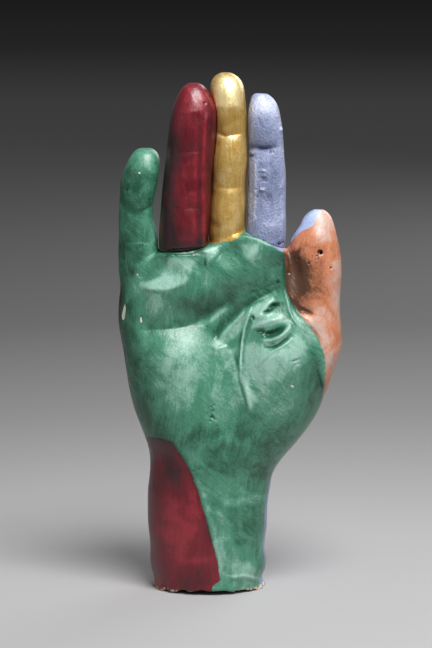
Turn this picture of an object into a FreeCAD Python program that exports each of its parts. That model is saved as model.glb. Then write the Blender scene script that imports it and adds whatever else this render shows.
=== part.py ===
# Hollow earthenware hand that stands on its wrist, palm to the front.
# Two pressed half shells are joined at a side seam, and five hollow digits are luted into the deck above them.
# Lengths are millimetres. +X is the thumb side, +Y the back of the hand, +Z up, origin in the middle of the foot.

import FreeCAD, Part

import math
import os

Vector = FreeCAD.Vector

# Driving sizes: name, value, meaning
SIZES = (
    ("wrist_width", 54.0, "side to side at the foot"),
    ("wrist_depth", 42.0, "front to back at the foot"),
    ("wrist_height", 58.0, "foot to the crease of the wrist"),
    ("palm_width", 106.0, "side to side across the thumb's root"),
    ("palm_depth", 42.0, "front to back over the ball of the thumb"),
    ("palm_rise", 107.0, "crease of the wrist to the fork of the thumb"),
    ("wall", 5.0, "thickness of the pressed clay"),
    ("deck", 6.0, "thickness of the clay under each digit"),
    ("edge_left", -0.6, "outer edge of the little finger's seat, from the palm's edge"),
    ("little_outer_height", -18.0, "outer end of the little finger's seat, from the top of palm_rise"),
    ("little_ring_height", -0.5, "seat line between little and ring finger, from there"),
    ("ring_middle_height", 2.5, "seat line between ring and middle finger, from there"),
    ("middle_index_height", 9.0, "seat line between middle and index finger, from there"),
    ("fork_height", 0.5, "seat line between index finger and thumb, from there"),
    ("thumb_seat_length", 73.5, "length of the thumb's slanted seat"),
    ("thumb_seat_angle", 15.0, "lean of the thumb's seat from upright, in degrees"),
    ("finger_gap", 0.5, "air between two neighbouring fingers"),
    ("little_width", 19.4, "little finger, side to side"),
    ("little_depth", 16.5, "little finger, front to back"),
    ("little_length", 58.4, "little finger above its seat"),
    ("little_forward", -1.0, "little finger, place front to back"),
    ("ring_width", 23.2, "ring finger, side to side"),
    ("ring_depth", 20.5, "ring finger, front to back"),
    ("ring_length", 79.4, "ring finger above its seat"),
    ("ring_forward", -3.8, "ring finger, place front to back"),
    ("middle_width", 17.5, "middle finger, side to side"),
    ("middle_depth", 18.5, "middle finger, front to back"),
    ("middle_length", 79.3, "middle finger above its seat"),
    ("middle_forward", 0.6, "middle finger, place front to back"),
    ("index_width", 18.7, "index finger, side to side"),
    ("index_depth", 18.5, "index finger, front to back"),
    ("index_length", 70.4, "index finger above its seat"),
    ("index_forward", -0.4, "index finger, place front to back"),
    ("thumb_width", 26.0, "thumb, side to side"),
    ("thumb_depth", 25.0, "thumb, front to back"),
    ("thumb_length", 55.0, "thumb above the middle of its seat"),
    ("thumb_forward", -2.4, "thumb, place front to back"),
    ("digit_wall", 4.0, "thickness of a digit's clay"),
    ("root_wall", 3.5, "clay that closes a digit's root"),
    ("spigot_radius", 3.4, "finger's spigot"),
    ("spigot_bore", 1.8, "radius of the air way through a spigot"),
    ("thumb_spigot_radius", 5.0, "thumb's spigot"),
    ("spigot_clearance", 0.3, "gap round a spigot in the deck"),
    ("spigot_back", -1.5, "place of the spigots, front to back"),
    ("lute_width", 1.8, "ring of soft clay round a spigot"),
    ("lute_height", 3.0, "thickness of that ring"),
    ("coil_radius", 2.8, "coil of clay pressed along a seam"),
    ("coil_clearance", 0.5, "gap between that coil and the wall"),
    ("coil_margin", 8.0, "end of a seam coil above the foot"),
    ("lip_span", 46.0, "width of the lifted front lip"),
    ("lip_rise", 2.4, "lift of the front lip above the ground"),
    ("pinhole_radius", 0.8, "larger air hole in the thumb"),
    ("pinhole_small_radius", 0.5, "smaller air hole in the thumb"),
    ("overrun", 2.0, "how far cutting shapes stand past what they cut"),
)

# Outline of the wrist: height share of wrist_height, left and right share of wrist_width,
# front shares of wrist_depth from left to right, back shares from right to left
WRIST_SHARES = (
    (0.00, -0.500, 0.500, (-0.355, -0.470, -0.500, -0.470, -0.355), (0.40, 0.50, 0.40)),
    (0.15, -0.516, 0.504, (-0.355, -0.469, -0.499, -0.469, -0.355), (0.40, 0.495, 0.40)),
    (0.30, -0.530, 0.507, (-0.355, -0.468, -0.498, -0.468, -0.355), (0.40, 0.49, 0.40)),
    (0.46, -0.541, 0.512, (-0.354, -0.466, -0.494, -0.466, -0.354), (0.395, 0.48, 0.395)),
    (0.62, -0.549, 0.520, (-0.352, -0.462, -0.490, -0.462, -0.352), (0.39, 0.47, 0.39)),
    (0.76, -0.551, 0.533, (-0.352, -0.461, -0.486, -0.460, -0.350), (0.385, 0.465, 0.385)),
    (0.89, -0.544, 0.556, (-0.356, -0.462, -0.483, -0.460, -0.350), (0.38, 0.46, 0.38)),
)

# Outline of the palm: height share of palm_rise above the wrist, left and right past half the wrist's width
# as shares of how much wider the palm is, front shares of the depth from left to right, back from right to left
PALM_SHARES = (
    (0.000, -0.031, 0.094, (-0.365, -0.468, -0.485, -0.465, -0.350), (0.375, 0.455, 0.385)),
    (0.060, -0.031, 0.182, (-0.380, -0.480, -0.485, -0.472, -0.355), (0.365, 0.445, 0.38)),
    (0.130, -0.062, 0.304, (-0.400, -0.492, -0.480, -0.490, -0.375), (0.35, 0.43, 0.37)),
    (0.240, -0.147, 0.467, (-0.410, -0.495, -0.460, -0.535, -0.400), (0.33, 0.41, 0.35)),
    (0.375, -0.221, 0.584, (-0.405, -0.475, -0.420, -0.565, -0.425), (0.31, 0.39, 0.335)),
    (0.505, -0.261, 0.667, (-0.395, -0.430, -0.350, -0.560, -0.435), (0.29, 0.37, 0.32)),
    (0.625, -0.304, 0.700, (-0.355, -0.330, -0.275, -0.475, -0.405), (0.28, 0.350, 0.30)),
    (0.745, -0.317, 0.688, (-0.345, -0.325, -0.255, -0.335, -0.335), (0.265, 0.320, 0.27)),
    (0.860, -0.300, 0.688, (-0.330, -0.345, -0.315, -0.270, -0.265), (0.24, 0.285, 0.24)),
    (0.960, -0.308, 0.688, (-0.305, -0.325, -0.305, -0.305, -0.245), (0.215, 0.255, 0.21)),
    (1.060, -0.312, 0.683, (-0.290, -0.300, -0.270, -0.290, -0.230), (0.19, 0.230, 0.18)),
    (1.160, -0.312, 0.679, (-0.275, -0.285, -0.250, -0.265, -0.215), (0.165, 0.205, 0.15)),
)

# Height share of palm_rise over which the wrist's depth turns into the palm's
DEPTH_TURN_SHARE = 0.35

# The palm's left edge under the little finger, as the rows above give it, and the fingers' row of palm_width
SEAT_EDGE_SHARE = -0.312
FINGER_ROW_SHARE = 0.7623

# Stations across a section, as shares of its half width from its middle
FRONT_STATION_SHARES = (-0.70, -0.35, 0.0, 0.35, 0.70)
BACK_STATION_SHARES = (0.60, 0.0, -0.60)

# Outline of each digit: rise share of its length above the seat, sideways share of its width,
# width share, depth share, forward share of its depth
DIGIT_SHARES = {
    "little": (
        (-0.27, 0.020, 1.000, 1.00, 0.00),
        (0.00, 0.012, 1.000, 1.00, 0.00),
        (0.16, 0.000, 0.985, 1.02, 0.00),
        (0.33, -0.020, 0.930, 0.99, 0.00),
        (0.50, -0.045, 0.855, 0.92, 0.01),
        (0.62, 0.000, 0.905, 0.95, 0.00),
        (0.74, 0.046, 0.940, 0.95, -0.02),
        (0.84, 0.113, 0.866, 0.88, -0.01),
        (0.92, 0.160, 0.730, 0.75, 0.02),
        (0.965, 0.178, 0.560, 0.57, 0.05),
        (0.995, 0.180, 0.260, 0.26, 0.07),
    ),
    "ring": (
        (-0.22, 0.000, 1.000, 0.94, 0.02),
        (0.00, 0.000, 1.000, 0.98, 0.00),
        (0.15, 0.018, 1.035, 1.03, -0.01),
        (0.28, 0.056, 1.035, 1.03, -0.01),
        (0.43, 0.090, 1.010, 0.97, 0.00),
        (0.60, 0.154, 0.987, 0.94, 0.00),
        (0.755, 0.205, 0.975, 0.92, -0.01),
        (0.83, 0.226, 0.930, 0.87, 0.00),
        (0.895, 0.230, 0.787, 0.77, 0.02),
        (0.945, 0.218, 0.600, 0.62, 0.04),
        (0.982, 0.210, 0.385, 0.42, 0.06),
        (0.998, 0.210, 0.170, 0.19, 0.07),
    ),
    "middle": (
        (-0.24, 0.000, 1.000, 0.96, 0.02),
        (0.00, -0.015, 1.000, 1.00, 0.00),
        (0.22, 0.023, 0.995, 1.03, 0.00),
        (0.43, 0.057, 1.005, 1.00, 0.00),
        (0.53, 0.066, 0.990, 0.95, 0.00),
        (0.62, 0.066, 0.955, 0.88, 0.01),
        (0.72, 0.050, 0.965, 0.91, -0.01),
        (0.82, 0.028, 0.940, 0.90, -0.02),
        (0.893, 0.000, 0.926, 0.82, 0.00),
        (0.943, -0.023, 0.830, 0.70, 0.03),
        (0.981, -0.034, 0.557, 0.48, 0.06),
        (0.998, -0.034, 0.240, 0.22, 0.08),
    ),
    "index": (
        (-0.25, 0.000, 0.990, 0.95, 0.02),
        (0.00, 0.000, 0.990, 1.00, 0.00),
        (0.15, 0.005, 1.000, 1.03, 0.00),
        (0.36, 0.016, 0.968, 1.00, 0.00),
        (0.53, 0.010, 0.925, 0.94, 0.00),
        (0.63, 0.000, 0.888, 0.86, 0.01),
        (0.73, -0.016, 0.883, 0.90, -0.01),
        (0.82, -0.048, 0.840, 0.86, -0.01),
        (0.90, -0.070, 0.745, 0.75, 0.01),
        (0.955, -0.106, 0.606, 0.58, 0.04),
        (0.987, -0.138, 0.425, 0.40, 0.06),
        (0.998, -0.150, 0.250, 0.22, 0.07),
    ),
    "thumb": (
        (-0.76, -0.240, 0.905, 1.15, 0.04),
        (-0.64, -0.130, 0.970, 1.18, 0.03),
        (-0.47, -0.004, 0.990, 1.18, 0.02),
        (-0.31, 0.096, 1.030, 1.15, 0.01),
        (-0.16, 0.152, 1.035, 1.08, 0.00),
        (0.03, 0.146, 0.985, 0.96, 0.00),
        (0.29, 0.148, 0.985, 0.88, 0.00),
        (0.47, 0.150, 1.005, 0.86, -0.01),
        (0.61, 0.143, 0.980, 0.82, 0.00),
        (0.705, 0.150, 0.890, 0.74, 0.01),
        (0.795, 0.179, 0.742, 0.63, 0.02),
        (0.888, 0.210, 0.573, 0.50, 0.04),
        (0.951, 0.225, 0.410, 0.37, 0.05),
        (0.992, 0.230, 0.210, 0.20, 0.06),
    ),
}

# Points round a digit's section, as shares of its half width and half depth
OVAL_SHARES = (
    (1.0, 0.0),
    (0.74, 0.70),
    (0.0, 1.0),
    (-0.74, 0.70),
    (-1.0, 0.0),
    (-0.74, -0.70),
    (0.0, -1.0),
    (0.74, -0.70),
)

# Where the spigot of each digit stands along its seat, as a share of the seat
SPIGOT_SHARES = {"little": 0.56, "ring": 0.50, "middle": 0.47, "index": 0.42, "thumb": 0.50}

# Air holes in the front of the thumb: height share of its length, sideways share of its width
PINHOLE_SHARE = (0.635, 0.266)
PINHOLE_SMALL_SHARE = (0.545, 0.105)

FINGERS = ("little", "ring", "middle", "index")
DIGITS = FINGERS + ("thumb",)

document = FreeCAD.newDocument("ceramic_hand")


def make_sheet():
    """Writes the driving sizes into a spreadsheet, one alias for each."""
    sheet = document.addObject("Spreadsheet::Sheet", "Sizes")
    for row, (name, value, meaning) in enumerate(SIZES, start=1):
        sheet.set(f"A{row}", meaning)
        sheet.set(f"B{row}", str(value))
        sheet.setAlias(f"B{row}", name)
    document.recompute()
    return sheet


sizes = make_sheet()


def size(name):
    """A driving size, read from the spreadsheet."""
    return float(getattr(sizes, name))


def add_shape(name, shape):
    """A document object that holds a given shape."""
    feature = document.addObject("Part::Feature", name)
    feature.Shape = shape
    return feature


def loft(name, wires):
    """A solid through the given section wires."""
    sections = [add_shape(f"{name}_section_{n}", w) for n, w in enumerate(wires)]
    body = document.addObject("Part::Loft", name)
    body.Sections = sections
    body.Solid = True
    body.Ruled = False
    body.MaxDegree = 3
    return body


def combine(kind, name, base, tool):
    """A Cut or Common of two objects."""
    result = document.addObject(f"Part::{kind}", name)
    result.Base = base
    result.Tool = tool
    return result


def fuse(name, *parts):
    """A union of two or more objects."""
    result = document.addObject("Part::MultiFuse", name)
    result.Shapes = list(parts)
    result.Refine = False
    return result


def cylinder(name, radius, height, placement):
    """A cylinder whose radius and height are expressions in the spreadsheet's names."""
    body = document.addObject("Part::Cylinder", name)
    body.setExpression("Radius", radius)
    body.setExpression("Height", height)
    body.Placement = placement
    return body


def palm_side(share):
    """A place across the palm: past half the wrist's width by a share of how much wider the palm is."""
    past = share * (size("palm_width") - size("wrist_width"))
    return math.copysign(size("wrist_width") / 2, share) + past


def palm_level(share):
    """The depth from which the shares of the palm's row at that height share are taken."""
    turned = min(share / DEPTH_TURN_SHARE, 1)
    return size("wrist_depth") + (size("palm_depth") - size("wrist_depth")) * turned


def seat_span(digit):
    """A finger's part of the palm's width, gap and all: they share it in proportion to their widths."""
    spans = {finger: size(f"{finger}_width") + size("finger_gap") for finger in FINGERS}
    return FINGER_ROW_SHARE * size("palm_width") * spans[digit] / sum(spans.values())


def digit_width(digit):
    """A digit's width, side to side."""
    if digit == "thumb":
        return size("thumb_width")
    return seat_span(digit) - size("finger_gap")


def seat_line():
    """The broken line, seen from the front, on which the digits stand: little finger's edge to thumb's foot."""
    top = size("wrist_height") + size("palm_rise")
    x = palm_side(SEAT_EDGE_SHARE) + size("edge_left")
    line = [Vector(x, 0, top + size("little_outer_height"))]
    ends = ("little_ring_height", "ring_middle_height", "middle_index_height", "fork_height")
    for digit, end in zip(FINGERS, ends):
        x += seat_span(digit)
        line.append(Vector(x, 0, top + size(end)))
    lean = math.radians(size("thumb_seat_angle"))
    down = Vector(math.sin(lean), 0, -math.cos(lean)) * size("thumb_seat_length")
    line.append(line[-1] + down)
    return line


def seat_ends(digit):
    """The two ends of one digit's stretch of the seat line."""
    line = seat_line()
    n = DIGITS.index(digit)
    return line[n], line[n + 1]


def seat_frame(digit, share, forward, lift):
    """A placement on a digit's seat: X along the seat, Z square to it and away from the palm."""
    start, end = seat_ends(digit)
    along = (end - start).normalize()
    across = Vector(0, 1, 0)
    outward = along.cross(across)
    point = start + (end - start) * share + across * forward + outward * lift
    turn = FreeCAD.Rotation(along, across, outward, "ZXY")
    return FreeCAD.Placement(point, turn)


def lines_meet(a, b, c, d):
    """The point where the line through a and b meets the line through c and d, in the X and Z plane."""
    ab = b - a
    cd = d - c
    turn = ab.x * cd.z - ab.z * cd.x
    ac = c - a
    share = (ac.x * cd.z - ac.z * cd.x) / turn
    return a + ab * share


def deck_outline(depth):
    """The outline, seen from the front, of everything below the seat line and depth under it."""
    line = seat_line()
    reach = size("palm_width")
    first = line[0] - (line[1] - line[0]).normalize() * reach
    last = line[-1] + Vector(reach, 0, 0)
    line = [first] + line[1:] + [last]
    shifted = []
    for a, b in zip(line, line[1:]):
        along = (b - a).normalize()
        inward = Vector(along.z, 0, -along.x) * depth
        shifted.append((a + inward, b + inward))
    points = [shifted[0][0]]
    for (a, b), (c, d) in zip(shifted, shifted[1:]):
        points.append(lines_meet(a, b, c, d))
    points.append(shifted[-1][1])
    floor = -size("overrun")
    points.append(Vector(points[-1].x, 0, floor))
    points.append(Vector(points[0].x, 0, floor))
    return points


def prism(name, outline):
    """A solid with that outline, as deep as the palm each way from front to back."""
    wire = Part.makePolygon(outline + outline[:1])
    depth = size("palm_depth")
    wire.translate(Vector(0, -depth, 0))
    return add_shape(name, Part.Face(wire).extrude(Vector(0, 2 * depth, 0)))


def section_rows():
    """Every section of wrist and palm: height, left, right, front depths and back depths."""
    rows = []
    for share, left, right, front, back in WRIST_SHARES:
        width = size("wrist_width")
        depth = size("wrist_depth")
        z = share * size("wrist_height")
        rows.append((z, left * width, right * width, [f * depth for f in front], [b * depth for b in back]))
    for share, left, right, front, back in PALM_SHARES:
        depth = palm_level(share)
        z = size("wrist_height") + share * size("palm_rise")
        sides = (palm_side(left), palm_side(right))
        rows.append((z, *sides, [f * depth for f in front], [b * depth for b in back]))
    return rows


def drawn_in(depth, inset):
    """A depth drawn in towards the seam's plane by inset, but never by more than seven eighths of itself."""
    return math.copysign(max(abs(depth) - inset, abs(depth) / 8), depth)


def turn_share(share, depth):
    """How far round a section a point stands from its right end, as a share of a full turn."""
    angle = math.acos(share) / (2 * math.pi)
    return 1 - angle if depth < 0 else angle


def body_wire(row, inset):
    """One level section of wrist or palm, drawn in by inset: a closed smooth curve from its right end."""
    z, left, right, front, back = row
    middle = (left + right) / 2
    half = (right - left) / 2 - inset
    back_points = zip(BACK_STATION_SHARES, back)
    front_points = zip(FRONT_STATION_SHARES, front)
    around = [(1.0, 0.0), *back_points, (-1.0, 0.0), *front_points]
    points = [Vector(middle + share * half, drawn_in(y, inset), z) for share, y in around]
    turns = [turn_share(share, y) for share, y in around]
    curve = Part.BSplineCurve()
    curve.interpolate(Points=points, PeriodicFlag=True, Parameters=turns + [1.0])
    return Part.Wire([curve.toShape()])


def body_loft(name, inset):
    """The hand's body without digits, drawn in by inset."""
    wires = [body_wire(row, inset) for row in section_rows()]
    if inset:
        below = wires[0].copy()
        below.translate(Vector(0, 0, -size("overrun")))
        wires.insert(0, below)
    return loft(name, wires)


def half_space(name, facing):
    """A block that holds everything in front of the seam's plane (facing -1) or behind it (facing 1)."""
    block = document.addObject("Part::Box", name)
    for side in ("Length", "Width", "Height"):
        block.setExpression(side, "4 * Sizes.palm_width")
    reach = 2 * size("palm_width")
    block.Placement.Base = Vector(-reach, 0 if facing > 0 else -2 * reach, -reach / 2)
    return block


def spigot_holes():
    """The five holes in the deck that take the digits' spigots."""
    holes = []
    for digit in DIGITS:
        radius = "Sizes.thumb_spigot_radius" if digit == "thumb" else "Sizes.spigot_radius"
        frame = seat_frame(digit, SPIGOT_SHARES[digit], size("spigot_back"), -2 * size("deck"))
        height = "3 * Sizes.deck"
        holes.append(cylinder(f"{digit}_hole", f"{radius} + Sizes.spigot_clearance", height, frame))
    return fuse("spigot_holes", *holes)


def lip_cutter():
    """A wide cylinder that lifts the middle of the front lip off the ground."""
    span = size("lip_span")
    rise = size("lip_rise")
    radius = (span ** 2 / 4 + rise ** 2) / (2 * rise)
    body = document.addObject("Part::Cylinder", "lip_cutter")
    body.setExpression("Radius", "(Sizes.lip_span ^ 2 / 4 + Sizes.lip_rise ^ 2) / (2 * Sizes.lip_rise)")
    body.setExpression("Height", "Sizes.wrist_depth")
    turn = FreeCAD.Rotation(Vector(1, 0, 0), 90)
    place = Vector(0, -size("wall"), rise - radius)
    body.Placement = FreeCAD.Placement(place, turn)
    return body


def make_half_shells(holes, front_space, back_space):
    """The two pressed halves of the body under the seat line, less its hollow and the holes, and the hollow."""
    below_seats = prism("below_seats", deck_outline(0))
    below_deck = prism("below_deck", deck_outline(size("deck")))
    block = combine("Common", "body_block", body_loft("body_outer", 0), below_seats)
    hollow = combine("Common", "body_hollow", body_loft("body_inner", size("wall")), below_deck)
    body = combine("Cut", "body", block, fuse("body_cuts", hollow, holes))
    front = combine("Common", "front_body", body, front_space)
    palm_shell = combine("Cut", "palm_shell", front, lip_cutter())
    back_shell = combine("Common", "back_shell", body, back_space)
    return palm_shell, back_shell, hollow


def oval(x, y, z, half_width, half_depth):
    """A closed smooth curve, level, round the given point."""
    points = [Vector(x + u * half_width, y + v * half_depth, z) for u, v in OVAL_SHARES]
    curve = Part.BSplineCurve()
    turns = [n / len(points) for n in range(len(points) + 1)]
    curve.interpolate(Points=points, PeriodicFlag=True, Parameters=turns)
    return Part.Wire([curve.toShape()])


def digit_loft(digit, name, inset):
    """The body of a digit, drawn in by inset."""
    start, end = seat_ends(digit)
    middle = (start + end) / 2
    width = digit_width(digit)
    depth = size(f"{digit}_depth")
    length = size(f"{digit}_length")
    wires = []
    for rise, sideways, wide, deep, forward in DIGIT_SHARES[digit]:
        half_width = wide * width / 2 - inset
        half_depth = deep * depth / 2 - inset
        if min(half_width, half_depth) < inset / 4:
            continue
        x = middle.x + sideways * width
        y = size(f"{digit}_forward") + forward * depth
        wires.append(oval(x, y, middle.z + rise * length, half_width, half_depth))
    return loft(name, wires)


def above_seat(digit, name, lift):
    """A block that holds everything beyond a digit's seat, from lift above it."""
    reach = size("palm_width")
    frame = seat_frame(digit, 0, 0, lift)
    block = document.addObject("Part::Box", name)
    for side in ("Length", "Width", "Height"):
        block.setExpression(side, "2 * Sizes.palm_width")
    corner = FreeCAD.Placement(Vector(-reach, -reach, 0), FreeCAD.Rotation())
    block.Placement = frame.multiply(corner)
    return block


def pinholes():
    """The two air holes pricked through the front of the thumb."""
    start, end = seat_ends("thumb")
    middle = (start + end) / 2
    turn = FreeCAD.Rotation(Vector(1, 0, 0), 90)
    holes = []
    places = (("pinhole", PINHOLE_SHARE), ("pinhole_small", PINHOLE_SMALL_SHARE))
    for name, (rise, sideways) in places:
        x = middle.x + sideways * size("thumb_width")
        z = middle.z + rise * size("thumb_length")
        place = FreeCAD.Placement(Vector(x, size("thumb_forward"), z), turn)
        holes.append(cylinder(name, f"Sizes.{name}_radius", "Sizes.thumb_depth", place))
    return holes


def make_digit(digit, neighbour=None):
    """One hollow digit with its spigot. A neighbour's body is cut away where the two are pressed together."""
    spigot_radius = "Sizes.thumb_spigot_radius" if digit == "thumb" else "Sizes.spigot_radius"
    solid = digit_loft(digit, f"{digit}_outer", 0)
    seated = combine("Common", f"{digit}_seated", solid, above_seat(digit, f"{digit}_above_seat", 0))
    if neighbour:
        seated = combine("Cut", f"{digit}_pressed", seated, neighbour)
    place = SPIGOT_SHARES[digit]
    back = size("spigot_back")
    drop = size("deck") + size("lute_height")
    frame = seat_frame(digit, place, back, -drop)
    spigot = cylinder(f"{digit}_spigot", spigot_radius, "Sizes.deck + Sizes.lute_height", frame)
    inner = digit_loft(digit, f"{digit}_inner", size("digit_wall"))
    root = above_seat(digit, f"{digit}_above_root", size("root_wall"))
    hollow = combine("Common", f"{digit}_hollow", inner, root)
    air_frame = seat_frame(digit, place, back, -drop - size("overrun"))
    air_height = "Sizes.deck + Sizes.lute_height + Sizes.root_wall + 2 * Sizes.overrun"
    air = cylinder(f"{digit}_air_way", "Sizes.spigot_bore", air_height, air_frame)
    cuts = [hollow, air]
    if digit == "thumb":
        cuts += pinholes()
    whole = fuse(f"{digit}_whole", seated, spigot)
    label = "thumb" if digit == "thumb" else f"{digit}_finger"
    return combine("Cut", label, whole, fuse(f"{digit}_cuts", *cuts)), solid


def make_lute(digit, hollow, neighbour=None):
    """The ring of soft clay round a spigot, under the deck, pressed against the hollow's wall or a neighbour it meets.

    Gives the ring, and the round block that it was cut from for the next one.
    """
    radius = "Sizes.thumb_spigot_radius" if digit == "thumb" else "Sizes.spigot_radius"
    drop = size("deck") + size("lute_height")
    frame = seat_frame(digit, SPIGOT_SHARES[digit], size("spigot_back"), -drop)
    outer = cylinder(f"{digit}_lute_outer", f"{radius} + Sizes.lute_width", "Sizes.lute_height", frame)
    hole = cylinder(f"{digit}_lute_hole", radius, "Sizes.lute_height", frame)
    ring = combine("Cut", f"{digit}_lute_ring", outer, hole)
    if neighbour:
        ring = combine("Cut", f"{digit}_lute_pressed", ring, neighbour)
    label = "thumb_lute" if digit == "thumb" else f"{digit}_finger_lute"
    return combine("Common", label, ring, hollow), outer


def make_seam_coil(label, side, top):
    """A coil of clay laid inside along one side seam, from above the foot up to the height top."""
    radius = size("coil_radius")
    inward = size("wall") + size("coil_clearance") + radius
    wires = []
    for z, left, right, _, _ in section_rows():
        x = left + inward if side < 0 else right - inward
        ring = Part.Circle(Vector(x, 0, z), Vector(0, 0, 1), radius)
        wires.append(Part.Wire([ring.toShape()]))
    reach = size("palm_width")
    block = Part.makeBox(2 * reach, 2 * reach, top - size("coil_margin"))
    block.translate(Vector(-reach, -reach, size("coil_margin")))
    return combine("Common", label, loft(f"{label}_round", wires), add_shape(f"{label}_reach", block))


def make_hand():
    """All the pieces of the hand, as document objects whose labels name their files."""
    holes = spigot_holes()
    spaces = (half_space("front_space", -1), half_space("back_space", 1))
    palm_shell, back_shell, hollow = make_half_shells(holes, *spaces)
    little, _ = make_digit("little")
    ring, ring_solid = make_digit("ring")
    middle, _ = make_digit("middle", ring_solid)
    index, _ = make_digit("index")
    thumb, _ = make_digit("thumb")
    lutes = []
    outer = None
    for digit in DIGITS:
        lute, outer = make_lute(digit, hollow, outer)
        lutes.append(lute)
    left_coil = make_seam_coil("left_seam_coil", -1, seat_line()[0].z - 2 * size("deck"))
    right_coil = make_seam_coil("right_seam_coil", 1, seat_line()[-1].z - 2 * size("deck"))
    return [palm_shell, back_shell, little, ring, middle, index, thumb, *lutes, left_coil, right_coil]


def check(pieces):
    """Stops if any object failed or any piece isn't a sound solid."""
    for item in document.Objects:
        if "Invalid" in item.State or "Error" in item.State:
            raise RuntimeError(f"{item.Name} failed: {item.State}")
    for piece in pieces:
        shape = piece.Shape
        if shape.isNull() or not shape.isValid() or len(shape.Solids) != 1:
            raise RuntimeError(f"{piece.Label} is not one sound solid")


def write(pieces):
    """Writes each piece to its own STEP file."""
    os.makedirs("parts", exist_ok=True)
    for piece in pieces:
        piece.Shape.exportStep(f"parts/{piece.Label}.step")


pieces = make_hand()
document.recompute()
check(pieces)
write(pieces)
for piece in pieces:
    print(piece.Label, round(piece.Shape.Volume), "mm3")
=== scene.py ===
# Dresses the packed earthenware hand: modelled skin, paint, wear, floor and studio light.
# Marks on the front are placed as the camera sees them, in pixels of a 432 x 648 picture. Marks on the back
# are placed by the frame's x and z. Heights and widths of marks are millimetres.

import math
from collections import namedtuple

import bmesh
import bpy
import numpy as np
from bpy.props import FloatProperty, FloatVectorProperty, IntProperty, PointerProperty
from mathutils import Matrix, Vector, noise
from mathutils.bvhtree import BVHTree


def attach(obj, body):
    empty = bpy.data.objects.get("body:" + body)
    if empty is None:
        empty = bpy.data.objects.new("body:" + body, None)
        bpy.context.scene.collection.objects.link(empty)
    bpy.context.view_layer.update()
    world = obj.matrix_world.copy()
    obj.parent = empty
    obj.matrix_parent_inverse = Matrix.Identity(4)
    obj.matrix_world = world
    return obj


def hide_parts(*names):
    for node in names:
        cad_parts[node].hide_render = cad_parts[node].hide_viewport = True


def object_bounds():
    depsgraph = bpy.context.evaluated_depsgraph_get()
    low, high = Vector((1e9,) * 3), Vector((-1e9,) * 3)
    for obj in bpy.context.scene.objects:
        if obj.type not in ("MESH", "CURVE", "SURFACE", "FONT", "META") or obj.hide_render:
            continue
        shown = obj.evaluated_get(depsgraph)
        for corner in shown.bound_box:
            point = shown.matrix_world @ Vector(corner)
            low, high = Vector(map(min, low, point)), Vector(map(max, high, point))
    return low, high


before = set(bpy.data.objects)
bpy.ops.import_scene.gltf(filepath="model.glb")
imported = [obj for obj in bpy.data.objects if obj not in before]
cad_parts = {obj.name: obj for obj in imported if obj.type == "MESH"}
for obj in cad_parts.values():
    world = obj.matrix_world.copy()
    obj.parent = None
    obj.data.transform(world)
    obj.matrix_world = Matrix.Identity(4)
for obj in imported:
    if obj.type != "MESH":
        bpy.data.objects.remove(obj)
cad_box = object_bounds()

bl_info = {
    "name": "Painted earthenware hand",
    "version": (1, 0, 0),
    "blender": (4, 5, 0),
    "location": "3D View > Sidebar > Hand",
    "description": "Models, paints and lights a hollow earthenware hand round its packed frame",
    "category": "Object",
}

MM = 0.001

# How the hand is seen

# The camera stands that far from the point it aims at, and that much above level. Its focal length is given
# in pixels of the picture, and one of those pixels covers PX_MM at the palm.
PICTURE = (432, 648)
AIM_MM = (3.4, 0.0, 129.0)
STAND_OFF_MM = 1500.0
RAISED_DEG = 8.5
FOCAL_PX = 3115.0
PX_MM = 0.4873


def eye():
    """The camera's place and its right, up and forward directions, in millimetres."""
    raised = math.radians(RAISED_DEG)
    forward = np.array((0.0, math.cos(raised), -math.sin(raised)))
    up = np.array((0.0, math.sin(raised), math.cos(raised)))
    return np.array(AIM_MM) - forward * STAND_OFF_MM, np.array((1.0, 0.0, 0.0)), up, forward


def seen(points):
    """Where points in millimetres fall in the picture, in pixels."""
    place, right, up, forward = eye()
    ray = points - place
    depth = ray @ forward
    across = PICTURE[0] / 2 + FOCAL_PX * (ray @ right) / depth
    down = PICTURE[1] / 2 - FOCAL_PX * (ray @ up) / depth
    return np.stack((across, down), axis=1)


# Sizes and colours


class HandSizes(bpy.types.PropertyGroup):
    """Sizes of the modelled skin."""

    grain: FloatProperty(name="Grain", description="Edge of the cells that the skin is remeshed with",
                         default=0.0005, min=0.0003, unit="LENGTH")
    settle: IntProperty(name="Settle", description="Rounds of smoothing after remeshing", default=4, min=0)
    relief: FloatProperty(name="Relief", description="Strength of modelled folds and pads",
                          default=1.2, subtype="FACTOR")
    hand_touch: FloatProperty(name="Hand touch", description="Height of the soft unevenness of hands",
                              default=0.00022, unit="LENGTH")


class HandColours(bpy.types.PropertyGroup):
    """Paints and clay of the hand."""


def colour_property(name, description, default):
    return FloatVectorProperty(name=name, description=description, default=default,
                               subtype="COLOR", size=3, min=0, max=1)


def linear(red, green, blue):
    """A colour written in 0 to 255 as the screen shows it, turned into linear light."""
    shares = [c / 255 for c in (red, green, blue)]
    return tuple(s / 12.92 if s <= 0.04045 else ((s + 0.055) / 1.055) ** 2.4 for s in shares)


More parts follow.
